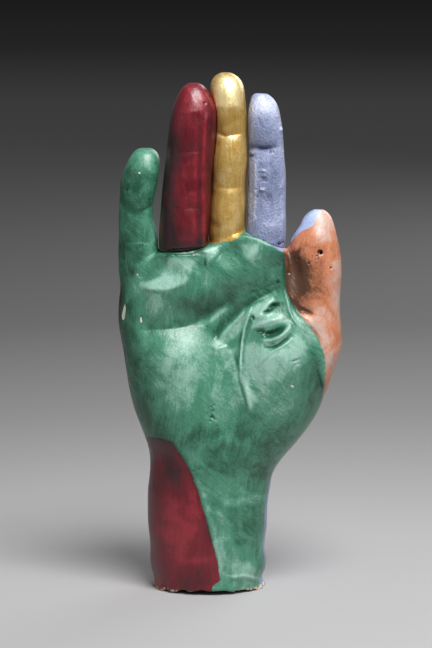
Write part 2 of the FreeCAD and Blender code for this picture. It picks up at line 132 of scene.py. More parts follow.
COLOURS = {
    "green": ("Green", "Body colour of the palm", linear(70, 134, 108)),
    # Dark green: dark brush marks, and painted shade in folds and along the sides
    "green_dark": ("Dark green", "Dark brush marks and painted shade in folds", linear(26, 80, 58)),
    # Pale green: chalky brushwork, and painted sheen on pads and mounds
    "green_pale": ("Pale green", "Chalky green brushwork and painted sheen", linear(146, 188, 172)),
    "crimson": ("Crimson", "Ring finger and wrist", linear(102, 8, 24)),
    "crimson_dark": ("Dark crimson", "Shaded crimson", linear(46, 18, 24)),
    # Pale crimson: brighter red brushwork, and painted highlights on the ring finger
    "crimson_pale": ("Pale crimson", "Brighter crimson brushwork and painted highlights", linear(148, 36, 50)),
    "gold": ("Gold", "Metallic paint of the middle finger", linear(206, 166, 86)),
    # Dark gold: dark brush marks, and painted shade in creases and hollows
    "gold_dark": ("Dark gold", "Dark gold brush marks and painted shade in creases", linear(120, 84, 34)),
    # Pale gold: bright brushwork, and the painted highlight on the middle finger's tip
    "gold_pale": ("Pale gold", "Bright gold brushwork and painted highlights", linear(240, 218, 160)),
    "lavender": ("Lavender", "Index finger", linear(140, 150, 184)),
    # Dark lavender: dark brush marks, and painted shade in dips and creases
    "lavender_dark": ("Dark lavender", "Dark lavender brush marks and painted shade in dips", linear(104, 114, 146)),
    # Pale lavender: pale brush marks, and painted highlights on the tip and high places
    "lavender_pale": ("Pale lavender", "Pale lavender brush marks and painted highlights on high places", linear(200, 206, 230)),
    "orange": ("Orange", "Thumb", linear(200, 126, 90)),
    # Brown: dark brush marks, and painted shade in the hollow at the thumb's root
    "orange_dark": ("Brown", "Dark brush marks and painted shade in the hollow at the thumb's root", linear(84, 52, 34)),
    # Pinkish white: chalky overpaint, and painted highlights on the thumb's bulges
    "orange_pale": ("Pinkish white", "Chalky overpaint and painted highlights on the thumb", linear(206, 178, 166)),
    "blue": ("Blue", "Patch on the thumb's side", linear(162, 178, 214)),
    "clay": ("Clay", "Fired earthenware", linear(178, 116, 84)),
    "clay_rubbed": ("Rubbed clay", "Clay of the rings and coils inside", linear(142, 105, 82)),
    "soil": ("Soil", "Dark places of the clay inside", linear(111, 82, 66)),
    "chalk": ("Chalk", "White ground under chips", linear(222, 214, 200)),
}
HandColours.__annotations__.update({key: colour_property(*row) for key, row in COLOURS.items()})


def sizes():
    """The sizes as they are set in the scene."""
    return bpy.context.scene.hand_sizes


def paint(key):
    """The colour of that name, opaque."""
    return (*getattr(bpy.context.scene.hand_colours, key), 1.0)


# Marks pressed into the clay

# Folds on the front: picture points from left to right, depth, then how far the slopes above and below it
# reach. A negative depth is a crest.
FOLDS = (
    # heart line, and the diagonal line that meets it under the index finger
    (((134, 331), (150, 330), (165, 329), (180, 327.5), (192, 324.5), (203, 320), (213, 314), (222, 308.5),
      (231, 302), (240, 297)), 2.0, 9.0, 4.5),
    (((210, 347), (213, 341), (220, 331), (228, 321), (238, 312), (248, 305), (258, 299.5), (268, 294),
      (278, 288.5), (287, 284)), 1.9, 6.0, 5.0),
    (((240, 297.5), (248, 295), (256, 292.5), (266, 288), (276, 284), (285, 281)), 0.7, 2.0, 1.2),
    # crest under the ring finger, and the fold round the little finger's root
    (((140, 287), (152, 289.5), (165, 290), (178, 287), (187, 281), (191, 272),
      (199, 263)), -1.5, 11.0, 2.6),
    (((136, 283), (150, 280), (158, 276), (163, 268), (166, 260), (167, 250)), 1.1, 4.5, 1.2),
    (((203, 270), (208, 263), (215, 256), (221, 248)), -0.8, 4.5, 2.4),
    (((240, 264), (248, 259.5), (256, 252), (262, 244)), -1.0, 6.5, 2.4),
    # ledge of clay across the index finger's root
    (((242, 236.5), (252, 238.5), (262, 242), (272, 247), (281, 254)), -0.9, 0.7, 2.2),
    # shade under the ring finger, and the little finger's root filled level with the palm
    (((162, 251), (175, 250.5), (190, 249.8), (205, 248)), 1.3, 0.6, 2.6),
    (((160, 249.5), (152, 256), (142, 266), (131, 278)), -1.1, 1.0, 7.0),
    # thumb's crease
    (((291, 297), (296, 305), (302, 309.5), (308, 312), (316, 315)), 2.2, 2.6, 1.6),
    # creases of the fingers
    (((212, 130), (218, 133.5), (224, 136), (234, 135), (246, 132)), 1.1, 1.6, 1.0),
    (((210, 186), (222, 188), (236, 188), (248, 186)), 0.55, 2.4, 1.6),
    (((212, 104), (222, 107.5), (232, 107.5), (243, 103)), -0.5, 6.0, 1.6),
    (((244, 144), (252, 147.5), (261, 149.5), (271, 149), (282, 146)), 1.8, 2.6, 1.2),
    (((134, 211), (143, 211), (151, 207.5), (160, 202)), 0.9, 2.6, 1.5),
    (((176, 113), (188, 113), (200, 111), (206, 106)), -0.5, 6.0, 1.8),
    (((174, 154), (186, 152), (198, 151), (208, 153)), 0.6, 3.5, 1.8),
    (((180, 211), (190, 208), (206, 209)), 0.6, 3.5, 2.0),
)

# Lines drawn or pinched on the front: picture points, height above the clay around it, half width
LINES = (
    (((252, 303), (249.5, 311), (247, 319), (244, 330), (242.3, 340), (241.2, 352), (240.6, 364),
      (240.6, 376)), 0.9, 0.55),
    (((248.5, 308), (246, 318), (243, 327), (240.5, 338), (239.2, 352), (238.8, 366)), -0.5, 0.55),
    (((250, 304), (257, 301), (264, 297.5), (271, 292)), 0.5, 0.6),
    # whorl on the ball of the thumb
    (((275, 296), (268, 303), (261, 311), (256, 319)), 1.0, 1.3),
    (((251, 329), (260, 326), (268, 323), (276, 320), (285, 315)), 1.1, 1.5),
    (((261, 315), (267, 311.5), (274, 309)), -1.1, 0.6),
    (((267, 309), (273, 305), (280, 303.5)), -1.6, 0.8),
    (((255, 329), (262, 332), (268, 333.5), (274, 332.5), (280, 329.5), (287, 324)), -1.8, 1.3),
    (((258, 336), (263, 334.5), (266, 331), (270, 329)), 1.2, 0.9),
    (((268, 346), (273, 343.5), (278, 342.5)), -0.8, 0.6),
    (((262, 339), (270, 341.5), (277, 339), (283, 335.5), (288, 330), (289, 325), (283, 322)), 1.7, 1.2),
    (((261, 347), (270, 348.5), (278, 346), (285, 341), (293, 334)), -1.4, 0.8),
    (((256, 369), (266, 359), (274, 351), (283, 345.5), (293, 338)), 0.6, 0.6),
    (((288, 361.5), (295, 360.5), (302, 358)), -0.6, 0.5),
    (((250, 316), (253, 318), (255, 321)), -0.9, 0.7),
    (((216, 343), (224, 333), (234, 322), (244, 312), (253, 304)), 0.8, 1.1),
    (((214, 352), (222, 347), (230, 346)), 0.5, 0.9),
    (((243.5, 378), (247, 390), (250, 404), (251, 414)), 0.7, 1.2),
    (((232, 350), (236, 362), (238, 378), (243, 394), (248, 410)), -0.5, 0.8),
    # crest and groove beside the thumb
    (((284.5, 286), (286, 295), (288, 304), (290, 312), (294, 320), (300, 327), (307, 332),
      (313, 338)), 0.55, 0.6),
    (((284, 252), (284.8, 275), (286.8, 292), (291, 301), (296, 309), (302, 317), (309, 326), (317, 336),
      (322, 348)), -0.6, 0.7),
    (((300, 321), (304, 326), (310, 330)), -0.35, 0.4),
    (((303, 362), (296, 364), (290, 369)), -0.3, 0.5),
    # between the roots of ring and middle finger
    (((205, 256), (205, 264), (206.5, 271)), -0.7, 0.5),
    (((223, 247), (219, 256), (214, 262)), -0.3, 0.5),
    # edges of the flat front of the ring finger, and of the index finger
    (((210, 108), (206, 124), (204, 145), (203.5, 170), (203.5, 195), (204, 220), (204.5, 246)), 0.5, 1.3),
    (((256.5, 152), (255.5, 170), (255.5, 190), (254.5, 212), (253, 228)), 0.35, 0.9),
    (((250, 143), (257, 147.5), (264, 148.3), (275, 148)), -1.0, 0.8),
    (((256, 172), (262, 170.5), (270, 173)), 0.6, 0.6),
    (((257, 176), (263, 178.5), (270, 175.5)), -0.6, 0.6),
    (((258, 183), (264, 180.5), (271, 182)), -0.6, 0.5),
    (((257, 191), (262, 189.5), (267, 191)), 0.7, 0.6),
    (((250.5, 152), (249.8, 158), (251.5, 162)), -0.35, 0.4),
    (((254, 151), (255, 157), (253, 162)), -0.35, 0.4),
    # edge of the red on the wrist, and scratches
    (((150, 437), (160, 438.5), (171, 442), (178, 451), (186, 463), (193, 478), (199, 493), (205, 515),
      (211, 538), (217, 560), (220, 578)), -0.28, 0.5),
    (((238, 490), (250, 491), (264, 491.5)), -0.25, 0.35),
    (((244, 495.5), (254, 496), (263, 497)), 0.25, 0.4),
    (((246, 500.5), (256, 501), (264, 502)), -0.3, 0.35),
    (((196, 513), (200, 515), (204, 517.5)), -0.25, 0.4),
    (((208, 492), (211, 500), (214, 510), (216, 520)), -0.2, 0.4),
    (((222, 574), (232, 577), (244, 576), (256, 579), (262, 581)), 0.4, 0.9),
    (((258, 545), (256, 556), (259, 566)), -0.3, 0.5),
    (((249, 395), (252, 404), (250, 414)), -0.3, 0.6),
)

# Swellings and dips on the front: middle, reach to the sides, up and down, all in the picture, and rise
SWELLINGS = (
    ((176, 352), 24, 20, 30, 0.9),
    ((262, 317), 12, 7, 6, 1.3),
    ((275, 362), 26, 18, 22, 0.8),
    ((247, 395), 7, 18, 20, 0.7),
    ((226, 262), 11, 12, 14, -0.7),
    ((272, 268), 9, 16, 12, -0.9),
    ((200, 300), 22, 10, 12, 0.5),
    ((154, 300), 9, 12, 12, 0.4),
    ((310, 323), 11, 7, 11, 1.0),
    ((294, 270), 8, 16, 13, -1.3),
    ((318, 238), 10, 9, 9, 0.5),
    ((215, 226), 5, 6, 5, -0.6),
    ((225, 441), 9, 5, 6, 0.5),
    ((222, 450), 7, 4, 4, -0.4),
    ((163, 455), 10, 10, 10, -0.5),
    ((281.5, 130), 1.6, 2.2, 2.2, 0.9),
    ((252.3, 156), 1.6, 3, 3, 0.3),
    ((240, 150), 10, 12, 12, 0.25),
    ((150, 168), 8, 8, 8, 0.35),
    ((126, 188), 3, 3, 3, -0.4),
    ((230, 540), 12, 25, 25, 0.4),
)

# Pits pricked or burst in the front: place, half width, depth
PITS = (
    ((320, 252.2), 0.95, 2.4), ((309, 263), 0.5, 0.9), ((331, 268), 0.55, 0.9), ((317, 256), 0.4, 0.5),
    ((318, 259), 0.35, 0.4), ((279.7, 244), 0.9, 1.4), ((283, 242.5), 0.5, 0.5), ((212, 417), 0.8, 0.9),
    ((214, 419), 0.5, 0.6), ((210, 421), 0.5, 0.5), ((213, 411), 0.5, 0.4), ((211, 407), 0.4, 0.4),
    ((217, 426), 0.45, 0.4), ((207, 413), 0.4, 0.4), ((219, 413), 0.4, 0.3), ((214, 405), 0.5, 0.4),
    ((126, 190), 0.8, 0.6), ((205, 103), 0.6, 0.4), ((289, 273), 0.7, 0.6), ((297, 259), 0.6, 0.4),
    ((278, 282), 0.8, 0.6), ((256, 189), 0.5, 0.4), ((257, 197), 0.5, 0.4), ((248, 183), 0.5, 0.4),
    ((270.6, 152.4), 0.6, 0.6), ((273.7, 152.4), 0.4, 0.4), ((252, 156), 0.9, 0.8),
    ((250.5, 149), 0.7, 0.6),
)

# Chips and drops on the front: outline of each
CHIPS = (
    ((125, 303), (126, 309), (124.5, 319), (122.5, 320), (121.8, 315), (123.5, 308)),
    ((140, 317), (141.8, 317), (142.2, 322), (140.6, 323)),
    # a small white spot on the little finger, sunk a little and painted white
    ((138.6, 171.6), (140.3, 171.6), (140.6, 173.6), (138.8, 173.8)),
    ((136.8, 273.4), (138.3, 273.4), (138.3, 275), (136.9, 275)),
    ((290, 385.5), (292, 384.3), (294.6, 386.5), (293, 387.4)),
    ((154.5, 182), (155.6, 182), (155.6, 183), (154.5, 183)),
)

# Outlines of the paints on the front, in picture points
ZONES = {
    "crimson": ((100, 437), (150, 437), (160, 438.5), (165, 440), (171, 442), (174, 446), (178, 451),
                (182, 457), (186, 463), (190, 470), (193, 478), (196, 485), (199, 493), (202, 505),
                (205, 515), (208, 525), (211, 538), (214, 548), (217, 560), (219, 570), (220.5, 581),
                (217, 583), (212, 587), (212, 620), (100, 620)),
    "gold": ((190, 60), (190, 200), (203, 200), (206, 243), (212, 244), (218, 243), (225, 241),
             (232, 241.5), (237, 238), (241, 234), (245, 230), (252, 230), (252, 60)),
    "lavender": ((236, 60), (236, 231), (243, 231), (247, 234), (255, 237), (262, 240), (270, 244),
                 (276, 248), (281, 251.5), (285, 252), (300, 252), (300, 60)),
    "orange": ((285, 200), (284.5, 252), (286, 290), (292, 302), (297, 310), (303, 318), (311, 328),
               (318, 338), (323, 350), (325, 358), (326, 368), (325, 378), (323, 392), (322, 402),
               (400, 402), (400, 150), (285, 150)),
    "blue": ((280, 246), (286, 247), (290, 243), (294, 238), (300, 232), (307, 229), (312, 226), (316, 220),
             (320, 215), (323, 209), (326, 200), (326, 180), (270, 180)),
    "tip": ((155, 140), (157, 149), (160, 158), (170, 160), (170, 135)),
}

# Painted highlights and, below zero, painted shade on the front: how much, how softly it ends in millimetres,
# outline in picture points
SHADE_AND_HIGHLIGHT_PATCHES = (
    # painted highlights on the pads under the fingers, painted shade under the ring finger and above the
    # heart line
    (0.65, 1.4, ((140, 285), (152, 281), (162, 277), (166, 262), (169, 256), (182, 259), (199, 258),
                 (190, 270), (187, 283), (165, 291), (150, 289))),
    (0.7, 1.4, ((206, 248), (220, 246), (214, 258), (206, 267), (204, 256))),
    (0.7, 1.6, ((241, 245), (262, 243), (255, 255), (252, 260), (243, 256))),
    (0.4, 3.0, ((150, 288), (164, 292), (162, 312), (150, 318))),
    (-0.9, 1.0, ((163, 249), (204, 248), (204, 254), (165, 257))),
    (-0.1, 3.0, ((170, 296), (200, 285), (230, 268), (285, 250), (285, 280), (240, 297), (200, 316),
                 (160, 325))),
    (-0.3, 1.6, ((200, 348), (207, 335), (222, 320), (240, 303), (262, 289), (284, 278), (286, 286),
                 (263, 297), (248, 309), (237, 318), (225, 330), (215, 342))),
    (-0.15, 2.0, ((152, 322), (180, 318), (205, 308), (222, 300), (226, 306), (204, 320), (180, 327),
                  (152, 330))),
    # painted highlight on the ridge below the heart line, and painted sheen on the palm's outer edge
    (1.0, 1.0, ((196, 327), (208, 319), (218, 311), (226, 306), (228, 309), (216, 319), (204, 328))),
    (0.25, 5.0, ((152, 338), (180, 336), (198, 338), (200, 365), (196, 395), (180, 412), (158, 385))),
    (0.15, 8.0, ((160, 335), (215, 345), (215, 420), (180, 420))),
    # painted highlights and painted shade on the ball of the thumb, with painted shade along its right edge
    (0.9, 1.4, ((216, 343), (225, 332), (237, 320), (248, 311), (254, 305), (262, 303), (250, 318),
                (242, 330), (232, 340), (222, 345))),
    (0.8, 1.4, ((254, 304), (266, 296), (276, 291), (272, 303), (264, 312), (283, 314), (281, 322),
                (268, 326), (252, 328))),
    (-1.0, 0.9, ((256, 329), (262, 332), (270, 334), (279, 331), (285, 326), (282, 335), (272, 340),
                 (262, 337))),
    (-0.8, 0.8, ((262, 312), (270, 306), (282, 301), (286, 304), (278, 307), (268, 313))),
    (0.9, 0.8, ((264, 340), (276, 341), (286, 331), (290, 326), (287, 334), (278, 344), (266, 344))),
    (0.9, 4.0, ((245, 345), (262, 342), (285, 345), (300, 335), (312, 340), (304, 360), (284, 378),
                (262, 392), (245, 372))),
    (0.9, 1.6, ((238, 372), (246, 378), (256, 398), (252, 412), (246, 402))),
    (0.5, 1.2, ((214, 352), (224, 344), (232, 350), (238, 366), (238, 380), (228, 372))),
    (0.5, 5.0, ((226, 345), (240, 345), (244, 400), (236, 400))),
    (-0.5, 5.0, ((312, 352), (326, 352), (322, 400), (300, 440), (280, 450), (290, 420))),
    (-0.7, 0.8, ((250, 310), (253, 316), (249, 330), (245, 345), (243.5, 362), (242, 362), (243, 340))),
    (-0.7, 0.8, ((247, 309), (245, 318), (241, 330), (239.5, 345), (239, 365), (236, 365), (237, 345),
                 (241, 322))),
    # painted shade along the sides, over the heel and at the foot, painted highlights on the wrist's ridges
    # and scratches, and a paler red low on the wrist
    (-0.6, 8.0, ((150, 420), (285, 425), (270, 470), (262, 482), (205, 482), (190, 455), (176, 440))),
    (0.35, 2.5, ((207, 508), (225, 510), (236, 560), (228, 580), (222, 560), (214, 530))),
    (-0.4, 3.0, ((250, 470), (275, 470), (270, 590), (258, 590))),
    (-0.9, 6.0, ((112, 290), (130, 300), (136, 340), (146, 390), (166, 440), (112, 440))),
    (-0.4, 3.0, ((140, 436), (156, 438), (156, 600), (140, 600))),
    (-0.7, 5.0, ((152, 442), (176, 446), (188, 470), (180, 484), (160, 476))),
    (-0.15, 3.0, ((150, 572), (215, 576), (215, 590), (150, 590))),
    (0.6, 3.0, ((160, 512), (176, 500), (194, 502), (204, 536), (208, 560), (186, 566), (166, 552))),
    (0.6, 1.5, ((186, 474), (192, 482), (200, 508), (203, 524), (194, 512), (186, 490))),
    (0.5, 1.0, ((222, 500), (266, 494), (266, 500), (224, 508))),
    (0.5, 1.0, ((196, 480), (204, 505), (214, 545), (220, 575), (225, 575), (216, 530), (204, 490),
                (198, 476))),
    (-0.4, 2.0, ((228, 508), (256, 506), (256, 560), (240, 566))),
    (0.6, 1.2, ((232, 564), (246, 560), (262, 572), (262, 580), (232, 578))),
    # painted shade down the ring finger's sides and at its root, painted highlights on its tip and down its
    # middle
    (-0.6, 1.2, ((206.5, 110), (214, 110), (214, 245), (205, 245))),
    (-1.2, 4.5, ((158, 90), (177, 90), (175, 255), (158, 255))),
    (-0.5, 1.4, ((199, 115), (204, 115), (203, 246), (197, 246))),
    (0.4, 1.4, ((194, 130), (198, 130), (196, 240), (191, 240))),
    (0.55, 3.0, ((184, 84), (202, 84), (208, 100), (202, 114), (186, 110))),
    (-0.6, 1.5, ((163, 240), (206, 240), (206, 252), (163, 252))),
    # painted highlights on the tips of the middle and index finger, below the middle finger's crease and
    # along the index finger's edges, painted shade in the index finger's crease and dips
    (1.1, 3.0, ((212, 84), (222, 74), (238, 76), (244, 90), (240, 106), (216, 106))),
    (0.5, 1.0, ((215, 131), (224, 136), (240, 135), (240, 142), (224, 142), (214, 138))),
    (0.9, 3.0, ((250, 96), (262, 92), (276, 100), (277, 114), (250, 114))),
    (0.3, 1.0, ((249, 160), (256, 160), (254, 228), (248, 228))),
    (-1.0, 0.6, ((248, 143), (258, 146), (272, 147), (272, 149.5), (258, 149.5), (249, 148))),
    (-0.5, 1.2, ((256, 149), (271, 149), (271, 154), (257, 155))),
    (-0.9, 0.8, ((267, 193), (272, 194), (272, 198), (268, 198))),
    (-0.35, 3.0, ((256, 140), (280, 140), (278, 200), (256, 200))),
    (0.4, 1.0, ((279, 118), (283, 118), (284, 240), (280, 240))),
    # painted shade in the hollow at the thumb's root and in its crease, painted highlights on its bulge, its
    # tip and its right edge
    (-1.6, 4.0, ((285, 252), (299, 250), (306, 268), (306, 288), (296, 300), (285, 290))),
    (-0.6, 5.0, ((300, 258), (320, 264), (321, 300), (300, 306))),
    (-1.2, 1.0, ((294, 300), (300, 306), (312, 311), (316, 315), (308, 315), (299, 311))),
    (0.6, 2.0, ((316, 212), (325, 208), (333, 225), (330, 242), (316, 244))),
    (0.6, 2.0, ((331, 262), (342, 255), (342, 330), (336, 330), (333, 300))),
    (0.9, 3.0, ((298, 316), (310, 317), (324, 322), (334, 340), (334, 365), (324, 372), (318, 344),
                (306, 334))),
    (0.4, 2.0, ((303, 305), (318, 300), (332, 315), (330, 325), (314, 318))),
    # a faint pale mark on the little finger's tip, and painted shade down its left side and round its root
    (0.05, 1.5, ((141, 150), (150, 147), (158, 152), (156, 161), (146, 162), (140, 158))),
    (-0.9, 5.0, ((116, 165), (134, 160), (146, 180), (146, 250), (136, 270), (122, 300), (112, 300))),
    (-0.4, 2.0, ((132, 272), (152, 276), (164, 262), (166, 250), (156, 250), (148, 262))),
)

# Nails and knuckles of the back, by the frame's x and z: middle, half width, half height, a knuckle's rise
NAILS = (
    (-33.6, 203.5, 5.0, 6.5), (-7.0, 234.5, 6.2, 7.5), (8.6, 239.5, 5.6, 7.2), (26.0, 229.5, 5.4, 6.8),
    (50.5, 176.5, 6.6, 8.0),
)
KNUCKLES = (
    (-34.5, 184, 6, 5, 0.7), (-9.5, 208, 8, 6, 0.8), (8.6, 214, 7, 6, 0.7), (27, 205, 7, 6, 0.7),
    (-33, 163, 7, 6, 0.9), (-11, 184, 9, 7, 0.9), (9, 190, 8, 7, 0.8), (27.5, 184, 8, 7, 0.8),
    (-33, 138, 8, 9, 1.3), (-11, 150, 9, 10, 1.6), (10, 153, 9, 10, 1.7), (30, 148, 9, 10, 1.5),
    (48, 152, 7, 7, 0.7), (-16, 58, 9, 9, 1.0),
)
# Tendons of the back: their points
TENDONS = (
    ((-9, 70), (-20, 104), (-32, 132)), ((-4, 68), (-8, 104), (-11, 142)),
    ((2, 68), (6, 104), (10, 144)), ((8, 70), (19, 104), (30, 140)), ((16, 72), (32, 96), (44, 118)),
)

# How marks on the front fall off: reaches in their own widths, a fold's round floor, a fade at the ends of
# lines, and a chip's depth and soft edge
FOLD_REACH = 3
FOLD_ROUND_MM = 0.15
LINE_REACH = 4
LINE_STEPS = 4
END_FADE_MM = 7.0
CHIP_DEPTH_MM = 0.2
CHIP_REACH_PX = 4
CHIP_EDGE_PX = (-0.4, 0.6)

# Marks on the back: a nail's rise and the groove round it, creases across the joints above a height, tendons
NAIL_RISE_MM = 0.35
NAIL_CORNERS = 1.3
NAIL_EDGE_SHARES = (-1.0, -0.82)
GROOVE_DEPTH_MM = 0.45
GROOVE_HALF_MM = 0.8
GROOVE_SHARE = 1.08
CREASED_FROM_MM = 155
CREASE_SHIFTS_MM = (-2.2, 0, 2.2)
CREASE_BOW = 0.06
CREASE_HALF_MM = 0.5
CREASE_DEPTH_MM = 0.35
CREASE_NARROWING = 1.1
TENDON_REACH_MM = 12
TENDON_HALF_MM = 2.6


def smooth_step(value, low, high):
    """0 up to low and 1 from high on, with a smooth rise between."""
    share = np.clip((value - low) / (high - low), 0, 1)
    return share * share * (3 - 2 * share)


def drawn(points):
    """A smooth line through the points."""
    line = np.array(points, float)
    ends = np.vstack((2 * line[0] - line[1], line, 2 * line[-1] - line[-2]))
    out = []
    for a, b, c, d in zip(ends, ends[1:], ends[2:], ends[3:]):
        for t in np.arange(LINE_STEPS) / LINE_STEPS:
            slope = (c - a) * t
            bend = (2 * a - 5 * b + 4 * c - d) * t ** 2
            twist = (3 * b - a - 3 * c + d) * t ** 3
            out.append(0.5 * (2 * b + slope + bend + twist))
    return np.vstack(out + [line[-1]])


def beside(places, line, reach):
    """The places near a line.

    Gives which ones lie within reach, how far off, on which side, and a fade that is 0 at the line's ends.
    """
    low, high = line.min(0) - reach, line.max(0) + reach
    near = np.flatnonzero(((places > low) & (places < high)).all(1))
    here = places[near]
    lengths = np.hypot(*np.diff(line, axis=0).T)
    before = np.concatenate(((0,), np.cumsum(lengths)))
    off = np.full(len(near), np.inf)
    side = np.ones(len(near))
    along_line = np.zeros(len(near))
    for a, b, length, start in zip(line, line[1:], lengths, before):
        along = (b - a) / length
        t = np.clip((here - a) @ along, 0, length)
        gap = here - a - t[:, None] * along
        distance = np.hypot(gap[:, 0], gap[:, 1])
        closer = distance < off
        off[closer] = distance[closer]
        side[closer] = np.sign(along[0] * gap[:, 1] - along[1] * gap[:, 0])[closer]
        along_line[closer] = start + t[closer]
    fade = min(END_FADE_MM / PX_MM, before[-1] / 2)
    ends = smooth_step(along_line, 0, fade) * smooth_step(before[-1] - along_line, 0, fade)
    return near, off, side, ends


def inside_by(places, outline, reach):
    """How far each place is inside a closed outline, below zero outside it, and at most reach either way."""
    ring = np.array(outline, float)
    line = np.vstack((ring, ring[:1]))
    inside = np.zeros(len(places), bool)
    for (ax, ay), (bx, by) in zip(line, line[1:]):
        if ay != by:
            crosses = (ay > places[:, 1]) != (by > places[:, 1])
            inside ^= crosses & (places[:, 0] < ax + (places[:, 1] - ay) / (by - ay) * (bx - ax))
    off = np.full(len(places), float(reach))
    near, distance, _, _ = beside(places, line, reach)
    off[near] = np.minimum(distance, reach)
    return np.where(inside, off, -off)


def front_relief(places):
    """Heights of all marks on the front, where they fall in the picture: broad forms, then fine marks."""
    broad = np.zeros(len(places))
    fine = np.zeros(len(places))
    for points, depth, above, below in FOLDS:
        near, off, side, ends = beside(places, drawn(points), FOLD_REACH * above / PX_MM)
        off = np.hypot(off * PX_MM, FOLD_ROUND_MM) - FOLD_ROUND_MM
        broad[near] -= depth * ends * np.exp(-off / np.where(side > 0, below, above))
    for points, rise, half in LINES:
        near, off, _, ends = beside(places, drawn(points), LINE_REACH * half / PX_MM)
        fine[near] += rise * ends * np.exp(-(off * PX_MM / half) ** 2)
    for (x, y), across, up, down, rise in SWELLINGS:
        dx = (places[:, 0] - x) / across
        dy = places[:, 1] - y
        dy = dy / np.where(dy > 0, down, up)
        broad += rise * np.exp(-(dx ** 2 + dy ** 2))
    for (x, y), half, depth in PITS:
        off = np.hypot(places[:, 0] - x, places[:, 1] - y) * PX_MM
        fine -= depth * np.exp(-(off / half) ** 4)
    for outline in CHIPS:
        fine -= CHIP_DEPTH_MM * smooth_step(inside_by(places, outline, CHIP_REACH_PX), *CHIP_EDGE_PX)
    return broad, fine


def back_relief(places):
    """Heights of nails, knuckles and tendons, from the frame's x and z."""
    height = np.zeros(len(places))
    for x, z, half, tall in NAILS:
        off = np.hypot((places[:, 0] - x) / half, (np.abs(places[:, 1] - z) / tall) ** NAIL_CORNERS)
        groove = GROOVE_DEPTH_MM * np.exp(-((off - GROOVE_SHARE) * half / GROOVE_HALF_MM) ** 2)
        height += NAIL_RISE_MM * smooth_step(-off, *NAIL_EDGE_SHARES) - groove
    for x, z, half, tall, rise in KNUCKLES:
        dx = (places[:, 0] - x) / half
        dz = (places[:, 1] - z) / tall
        height += rise * np.exp(-(dx ** 2 + dz ** 2))
        if z > CREASED_FROM_MM:
            for shift in CREASE_SHIFTS_MM:
                off = places[:, 1] - z - shift - CREASE_BOW * (places[:, 0] - x) ** 2 / half
                line = np.exp(-((off / CREASE_HALF_MM) ** 2))
                height -= CREASE_DEPTH_MM * line * np.exp(-(dx * CREASE_NARROWING) ** 4)
    for points in TENDONS:
        near, off, _, ends = beside(places, drawn(points), TENDON_REACH_MM)
        height[near] += ends * np.exp(-(off / TENDON_HALF_MM) ** 2)
    return height


# Clay: skins and pieces

# The line that the digits stand on, from the little finger's edge to the thumb's foot
SEATS_MM = ((-43.8, 147.0), (-24.0, 164.5), (-0.2, 167.5), (17.9, 174.0), (37.0, 165.5), (56.0, 94.5))
# Blocks, seen from the front, round the digits that share the body's skin, and round the body itself
WEDGES_MM = {
    "little": ((-90, 106.1), (-23.9, 164.6), (-14, 176), (-14, 262), (-90, 262)),
    "middle": ((-0.2, 167.5), (-8, 178), (-8, 262), (27, 262), (27, 184), (18.0, 174.0)),
    "thumb": ((37.0, 165.5), (28, 178), (28, 240), (95, 240), (95, 94.5), (56.0, 94.5)),
}
BODY_MM = ((-90, -10), (90, -10), (90, 200), (-90, 200))
DEPTH_MM = 60.0

# Joints between digits and palm are smoothed more, the foot's lip is lumpy, and the body's halves keep that
# share of their triangles
WELD = MM / 1000
SMOOTHING = 0.5
JOINT_MM = 4.5
JOINT_ROUNDS = 60
LIP_MM = 6.0
LIP_LUMP_MM = 1.5
LIP_LUMP_WIDE_MM = 4.5
KEEP_SHARE = 0.55
# Soft unevenness: how wide its lumps are, in millimetres, and their share of its height
TOUCHES = ((15.0, 1.0), (6.0, 0.45), (2.6, 0.2))
# How much a place has to face front or back, from 0 to 1, to take marks, and then to take all of them
FACING = (0.02, 0.40)
CLEAR_MM = 0.3
BOX_MARGIN_MM = 0.02
# The skin of body and joined digits, and its tree, made once and used several times
skins = {}


def link(name, data):
    """A new object that shows the data."""
    thing = bpy.data.objects.new(name, data)
    bpy.context.scene.collection.objects.link(thing)
    return thing


def mesh_from(form, name):
    """The form as a mesh of that name; the form itself is freed."""
    mesh = bpy.data.meshes.new(name)
    form.to_mesh(mesh)
    form.free()
    return mesh


def applied(thing, kind, **settings):
    """The thing's mesh with one modifier of that kind applied."""
    modifier = thing.modifiers.new(kind.lower(), kind)
    for key, value in settings.items():
        setattr(modifier, key, value)
    graph = bpy.context.evaluated_depsgraph_get()
    mesh = bpy.data.meshes.new_from_object(thing.evaluated_get(graph))
    thing.modifiers.remove(modifier)
    return mesh


def smoothed(form, points, rounds):
    """Smooths those points of a form, that many times."""
    axes = {f"use_axis_{axis}": True for axis in "xyz"}
    for _ in range(rounds):
        bmesh.ops.smooth_vert(form, verts=points, factor=SMOOTHING, **axes)


def remeshed(nodes):
    """One even skin over the given nodes, inside and out."""
    form = bmesh.new()
    for node in nodes:
        form.from_mesh(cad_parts[node].data)
    bmesh.ops.remove_doubles(form, verts=form.verts, dist=WELD)
    thing = link("clay", mesh_from(form, "clay"))
    mesh = applied(thing, "REMESH", mode="VOXEL", voxel_size=sizes().grain, adaptivity=0)
    bpy.data.objects.remove(thing)
    form = bmesh.new()
    form.from_mesh(mesh)
    smoothed(form, form.verts, sizes().settle)
    if len(nodes) > 1:
        form.verts.ensure_lookup_table()
        places = np.array([(vert.co.x, vert.co.z) for vert in form.verts]) / MM
        near, off, _, _ = beside(places, np.array(SEATS_MM), JOINT_MM)
        smoothed(form, [form.verts[n] for n in near[off < JOINT_MM]], JOINT_ROUNDS)
    return mesh_from(form, "skin")


def thinned(mesh):
    """The mesh with fewer triangles, most of them gone where it is smooth."""
    thing = link("thinned", mesh)
    result = applied(thing, "DECIMATE", ratio=KEEP_SHARE)
    bpy.data.objects.remove(thing)
    return result


